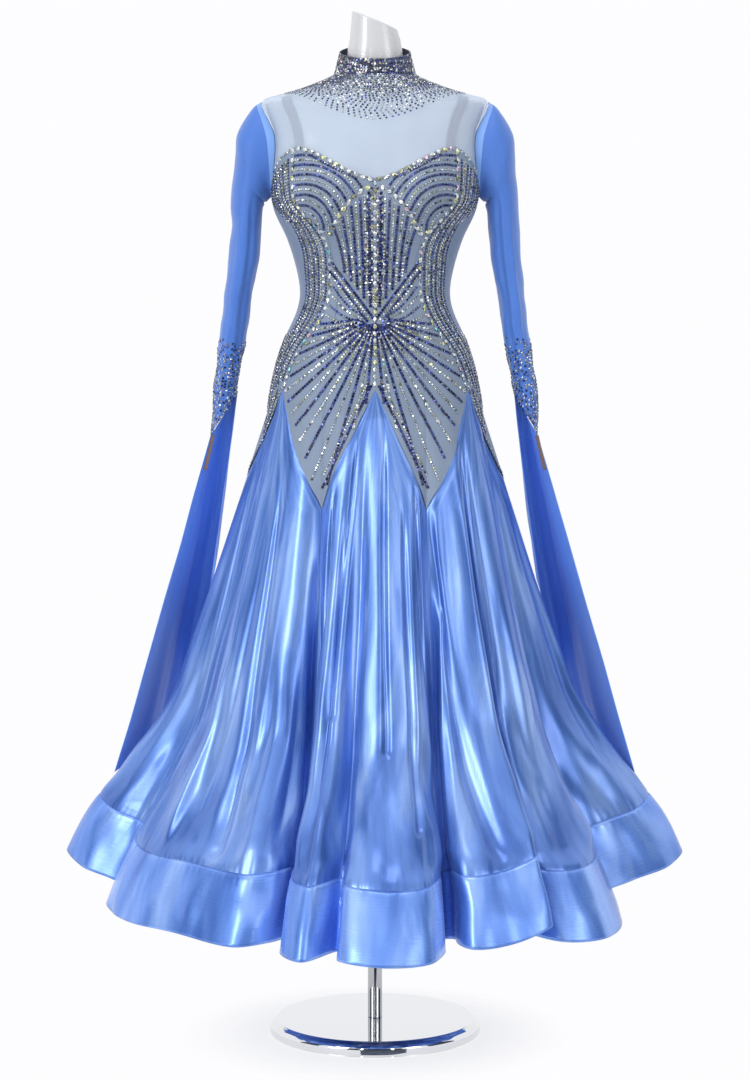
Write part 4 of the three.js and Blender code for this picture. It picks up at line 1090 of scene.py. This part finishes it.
for side in (1, -1):
    # Large stones round the cup and down the princess line
    t = np.linspace(1, CUP_TURN, 80)
    line(bodice, side * t, sweetheart_z(t) - 0.003, 0.0106, 0.0108, 0.0072, "ab", slant=0.45)
    t = np.linspace(2, CUP_TURN - 1, 80)
    line(bodice, side * t, undercup_z(t) + 0.001, 0.0118, 0.0112, 0.0074, "ab", slant=0.4)
    z = np.linspace(1.330, 1.266, 40)
    line(bodice, side * np.full(40, CUP_TURN - 0.5), z, 0.0118, 0.0110, 0.0072, "ab", slant=0.4)
    line(bodice, side * princess_turns, zs_princess, 0.0116, 0.0104, 0.0068, "ab", slant=0.5)
    # Outer top edge, from cup to armhole
    t = np.linspace(CUP_TURN, LOW_TURN - 2, 40)
    line(bodice, side * t, sweetheart_z(t) - 0.003, 0.0082, 0.0075, 0.0048, "ab", slant=0.4)
    # Cup contour lines: arcs about the cup's lower outer corner
    for k in range(17):
        radius = 0.010 + 0.0071 * k
        a = np.linspace(radians(-12), radians(118), 160)
        x, z = 0.106 - radius * np.cos(a), 1.222 + radius * np.sin(a)
        inside = (x > 0.004) & (x < 0.118)
        turn = front_turn(np.clip(x, 0, 0.13), z)
        on_cup = np.clip(turn, 0, CUP_TURN)
        inside &= turn < CUP_TURN - 1.2
        inside &= (z < sweetheart_z(on_cup) - 0.008) & (z > undercup_z(on_cup) + 0.006)
        if inside.sum() > 6:
            size = DARK if k % 2 else SMALL
            line(bodice, side * turn[inside], z[inside], PITCH, size, size, "dark" if k % 2 else "silver")
    # Fan above the waist, from the V to the underside of the cups
    for k in range(9):
        top_x = 0.0090 + 0.0064 * k
        top_z = float(undercup_z(float(front_turn(top_x, 1.24)))) - 0.006
        s = np.linspace(0, 1, 60)
        x = lerp(0.74 * top_x, top_x, s) - 0.0022 * np.sin(pi * s) * (k / 8)
        z = lerp(WAIST_Z + 0.004 + 1.02 * top_x, top_z, s)
        size = SMALL if k % 2 else DARK
        front_line(bodice, side * x, z, PITCH, size, size, "silver" if k % 2 else "dark")
    # V from the waist, a silver row between two dark ones
    for gap, size, mix in ((0.0, DARK, "dark"), (0.0042, SMALL, "silver"), (0.0084, DARK, "dark")):
        s = np.linspace(0.03, 1, 60)
        x, z = 0.0015 + 0.061 * s + gap, WAIST_Z - 0.006 + 0.083 * s - gap * 0.6
        front_line(bodice, side * x, z, PITCH, size, size, mix)
    # Short rays beside the waist
    for k, (end_z, mix) in enumerate(SHORT_RAYS):
        end_x = float(np.interp(end_z, Z_TABLE, X_TABLE)) - 0.006
        s = np.linspace(0.0, 1, 50)
        x = lerp(0.020, end_x, s)
        z = lerp(WAIST_Z + 0.004 - 0.004 * k, end_z, s) - 0.006 * np.sin(pi * s)
        front_line(bodice, side * x, z, PITCH, SMALL, SMALL, mix)
    # Long rays below the waist, to the princess line and the lower edge
    for k in range(17):
        angle = radians(6 + 4.8 * k)
        s = np.linspace(0.010 + 0.0007 * k + 0.010 * (k % 2), 0.33, 260)
        bow = 1 + 0.35 * s * sin(2 * angle)
        x, z = s * sin(angle) * bow, WAIST_Z - 0.004 - s * cos(angle)
        stop = (x > np.interp(z, Z_TABLE, X_TABLE, left=0.3) - 0.005) & (z > APEX_Z)
        stop |= z < lower_edge_z(x) + 0.004
        end = int(np.argmax(stop)) if stop.any() else len(s)
        if end < 10:
            continue
        size = SMALL if k % 2 else DARK
        front_line(bodice, side * x[:end], z[:end], PITCH, size, size, "silver" if k % 2 else "dark")
        if k % 4 == 1:
            front_line(bodice, side * x[end // 3:end], z[end // 3:end], 0.026, 0.0082, 0.0060, "ab")
    # Rows that follow the centre panel's lower edge
    for gap, size, mix in ((0.0058, DARK, "dark"), (0.0120, SMALL, "silver")):
        x = np.linspace(0.004 + 0.4 * gap, 0.079 - 0.3 * gap, 90)
        front_line(bodice, side * x, lower_edge_z(x) + 2.3 * gap, PITCH, size, size, mix)
    # Column of stones beside the centre front
    for k in range(4):
        z = np.linspace(1.276 - 0.006 * k, 1.112 - 0.004 * k, 60)
        x = (0.0036 + 0.0034 * k) * ease(1.09, 1.15, z) + 0.0005
        front_line(bodice, side * x, z, PITCH, SMALL, SMALL, "mixed")
    # Side bands beside the princess line
    for k in range(18):
        z = np.linspace(1.318 - 0.0022 * k, 0.995 - 0.004 * k, 260)
        on_princess = smooth(PRINCESS[:, 0], PRINCESS[:, 1], np.clip(z, APEX_Z, 1.262))
        start_turn = np.where(z > 1.262, CUP_TURN, on_princess)
        start_turn = np.where(z < APEX_Z, 60 + (APEX_Z - z) * 30, start_turn)
        ten_degrees = surface_at(start_turn + 5, z) - surface_at(start_turn - 5, z)
        per_degree = np.linalg.norm(ten_degrees, axis=-1) / 10
        turn = start_turn + (0.0060 + 0.0042 * k) / per_degree
        keep = (turn < 99) & ((k < 11) | (z > 1.185 + 0.004 * k) | (z < 1.075 - 0.001 * k))
        mix = ("dark", "silver", "silver", "dark", "silver")[k % 5]
        cuts = np.flatnonzero(np.diff(keep.astype(int))) + 1
        for part in np.split(np.arange(len(z)), cuts):
            if keep[part[0]] and len(part) > 8:
                line(sides_stones, side * turn[part], z[part], PITCH, SMALL, SMALL, mix, skip=k % 2)
    # Strip down the side edge of the lower points
    for k in range(6):
        z = np.linspace(0.985 - 0.004 * k, 0.905 + 0.006 * k, 50)
        turn = 63 + (APEX_Z - z) / (APEX_Z - POINT_Z) * 34 + 2.1 * k
        mix = ("silver", "dark", "silver")[k % 3]
        line(sides_stones, side * turn, z, PITCH, SMALL, SMALL, mix, skip=k % 2)
    # One row round the lower edge at the back
    for at, top in ((100, 60), (100, 140), (180, 140)):
        s = np.linspace(0.04, 0.96, 120)
        line(sides_stones, side * lerp(float(at), float(top), s), lerp(POINT_Z, APEX_Z, s) + 0.006,
             PITCH * 1.3, SMALL, SMALL, "silver")

# Centre column
z = np.linspace(1.283, 0.992, 200)
line(bodice, np.zeros(200), z, 0.0104, 0.0090, 0.0070, "ab", slant=0.15)
bodice.build("stones_front")
sides_stones.build("stones_side")

# Collar and yoke
neck_stones = Stones()
for k in range(10):
    turns = np.linspace(-180, 180, 300)
    rise = (k + 0.4) / 9.9
    z = lerp(NECK_Z + 0.001, 1.480 - 0.013 * np.cos(np.radians(turns)), rise)
    line(neck_stones, turns, z, 0.0041, 0.0041, 0.0041, "neck", surface=collar_at,
         offset=lambda z: np.full(np.shape(z), CLOTH_OFF + BODICE_WALL), skip=k % 2)
# Rows down the yoke at even steps from the neck seam, thinning out
turns = np.linspace(-180, 180, 300)
levels = np.linspace(NECK_Z - 0.001, 1.345, 90)
fall = lifted(skin_at, turns[None, :], levels[:, None], CLOTH_OFF + YOKE_WALL)
depth = np.vstack([np.zeros((1, 300)), np.cumsum(lengths(fall, 0), axis=0)])
for k in range(20):
    z = np.array([np.interp(0.0041 * k + 0.002, depth[:, i], levels) for i in range(300)])
    thin = max(0, k - 7)
    size = 0.0040 - 0.00006 * thin
    line(neck_stones, turns, z, 0.0042 + 0.00042 * thin, size, size, "neck",
         surface=skin_at, skip=k % 2, offset=lambda z: np.full(np.shape(z), CLOTH_OFF + YOKE_WALL))
neck_stones.build("stones_neck")

# Cuffs
cuff_stones = Stones()
for side_name, side in SIDES:
    grid = sleeve_grid(side)
    rows, around = grid.shape[:2]
    across = np.roll(grid, -1, axis=1) - np.roll(grid, 1, axis=1)
    n = np.cross(across, np.gradient(grid, axis=0))
    n /= np.maximum(np.linalg.norm(n, axis=-1, keepdims=True), 1e-9)
    n *= np.sign((n * (grid - grid.mean(axis=1, keepdims=True))).sum(axis=-1, keepdims=True))
    taken = []
    for _ in range(5200):
        r, c = pick.integers(rows * 6 // 10, rows), pick.integers(around)
        p = grid[r, c]
        low = (1.046 - p[2]) / 0.13 + pick.normal(0, 0.04)
        if low > 0 and pick.uniform() < 0.25 + low and all(np.linalg.norm(p - q[0]) > 0.0042 for q in taken):
            taken.append((p + n[r, c] * 0.0002, n[r, c]))
    points, normals = (np.array([q[k] for q in taken]) for k in (0, 1))
    upright = np.tile([0.0, 0, 1.0], (len(points), 1))
    cuff_stones.add(points, normals, upright, 0.0040, 0.0040, kinds_of("mixed", len(points)))
cuff_stones.build("stones_cuff")

# ---- Studio ---------------------------------------------------------------------------------------
def area_light(name, place, aim, size, power, color=(1, 1, 1)):
    data = bpy.data.lights.new(name, "AREA")
    data.shape = "RECTANGLE"
    data.size, data.size_y = size
    data.energy = power
    data.color = color
    obj = bpy.data.objects.new(name, data)
    obj.location = place
    obj.rotation_euler = (Vector(aim) - Vector(place)).to_track_quat("-Z", "Y").to_euler()
    bpy.context.scene.collection.objects.link(obj)
    return obj


scene = bpy.context.scene
world = bpy.data.worlds.new("studio")
scene.world = world
world.use_nodes = True
world.node_tree.nodes["Background"].inputs["Color"].default_value = (0.985, 0.985, 1.0, 1)
world.node_tree.nodes["Background"].inputs["Strength"].default_value = 1.0

area_light("key", (-2.5, -3.2, 2.6), (0, 0, 0.85), (1.0, 1.7), 46)
area_light("fill", (2.7, -2.9, 1.7), (0, 0, 0.7), (1.0, 2.0), 20)
area_light("low_left", (-2.2, -2.4, 0.6), (0, 0, 0.45), (0.8, 1.2), 16)
area_light("strip_left", (-0.9, -3.6, 1.2), (0, 0, 0.6), (0.14, 2.0), 7)
area_light("strip_right", (1.2, -3.6, 0.9), (0, 0, 0.5), (0.16, 1.8), 6)
area_light("top", (0, -0.8, 3.4), (0, 0, 0.9), (1.6, 1.2), 14)


def flag(name, place, size, turn):
    """A dark panel that the camera doesn't see, for the satin and chrome to reflect."""
    w, h = size[0] / 2, size[1] / 2
    obj = new_object(name, [(-w, 0, -h), (w, 0, -h), (w, 0, h), (-w, 0, h)], [[0, 1, 2, 3]])
    obj.location = place
    obj.rotation_euler = (0, 0, radians(turn))
    obj.data.materials.append(shader(name, (0.02, 0.03, 0.06), 0.9))
    obj.visible_camera = False


flag("flag_left", (-2.7, -0.9, 1.4), (1.4, 3.0), 72)
flag("flag_right", (2.7, -0.9, 1.4), (2.0, 3.0), -72)
flag("flag_front", (0.0, -6.2, 1.4), (7.0, 4.8), 0)
flag("flag_low", (0.5, -2.6, -0.42), (2.4, 0.9), 0)

floor_ring = np.linspace(0, 2 * pi, 96, endpoint=False)
floor_rows = np.stack([
    np.stack([r * np.cos(floor_ring), r * np.sin(floor_ring), np.zeros(96)], -1)
    for r in (0.001, 0.5, 1.2, 2.0, 3.0, 6.0)])
floor = new_object("floor", floor_rows.reshape(-1, 3), [f[::-1] for f in grid_faces(6, 96, True)])
floor_paint = shader("floor_white", (0.97, 0.97, 0.975), 0.6)
position = add_node(floor_paint, "ShaderNodeTexCoord")
distance = add_node(floor_paint, "ShaderNodeVectorMath", [(position, "Object", 0)], operation="LENGTH")
fade = add_node(floor_paint, "ShaderNodeMapRange", [(distance, "Value", "Value")],
                From_Min=0.162, From_Max=0.30, To_Min=0.22, To_Max=0.0)
link(floor_paint, fade, "Result", "Alpha")
floor.data.materials.append(floor_paint)
floor.location.z = -0.0005

camera_data = bpy.data.cameras.new("camera")
camera_data.lens = 100
camera = bpy.data.objects.new("camera", camera_data)
camera.location = (0, -4.5, 1.166)
camera.rotation_euler = (radians(90 - 5.24), 0, 0)
scene.collection.objects.link(camera)
scene.camera = camera
scene.view_settings.view_transform = "Standard"
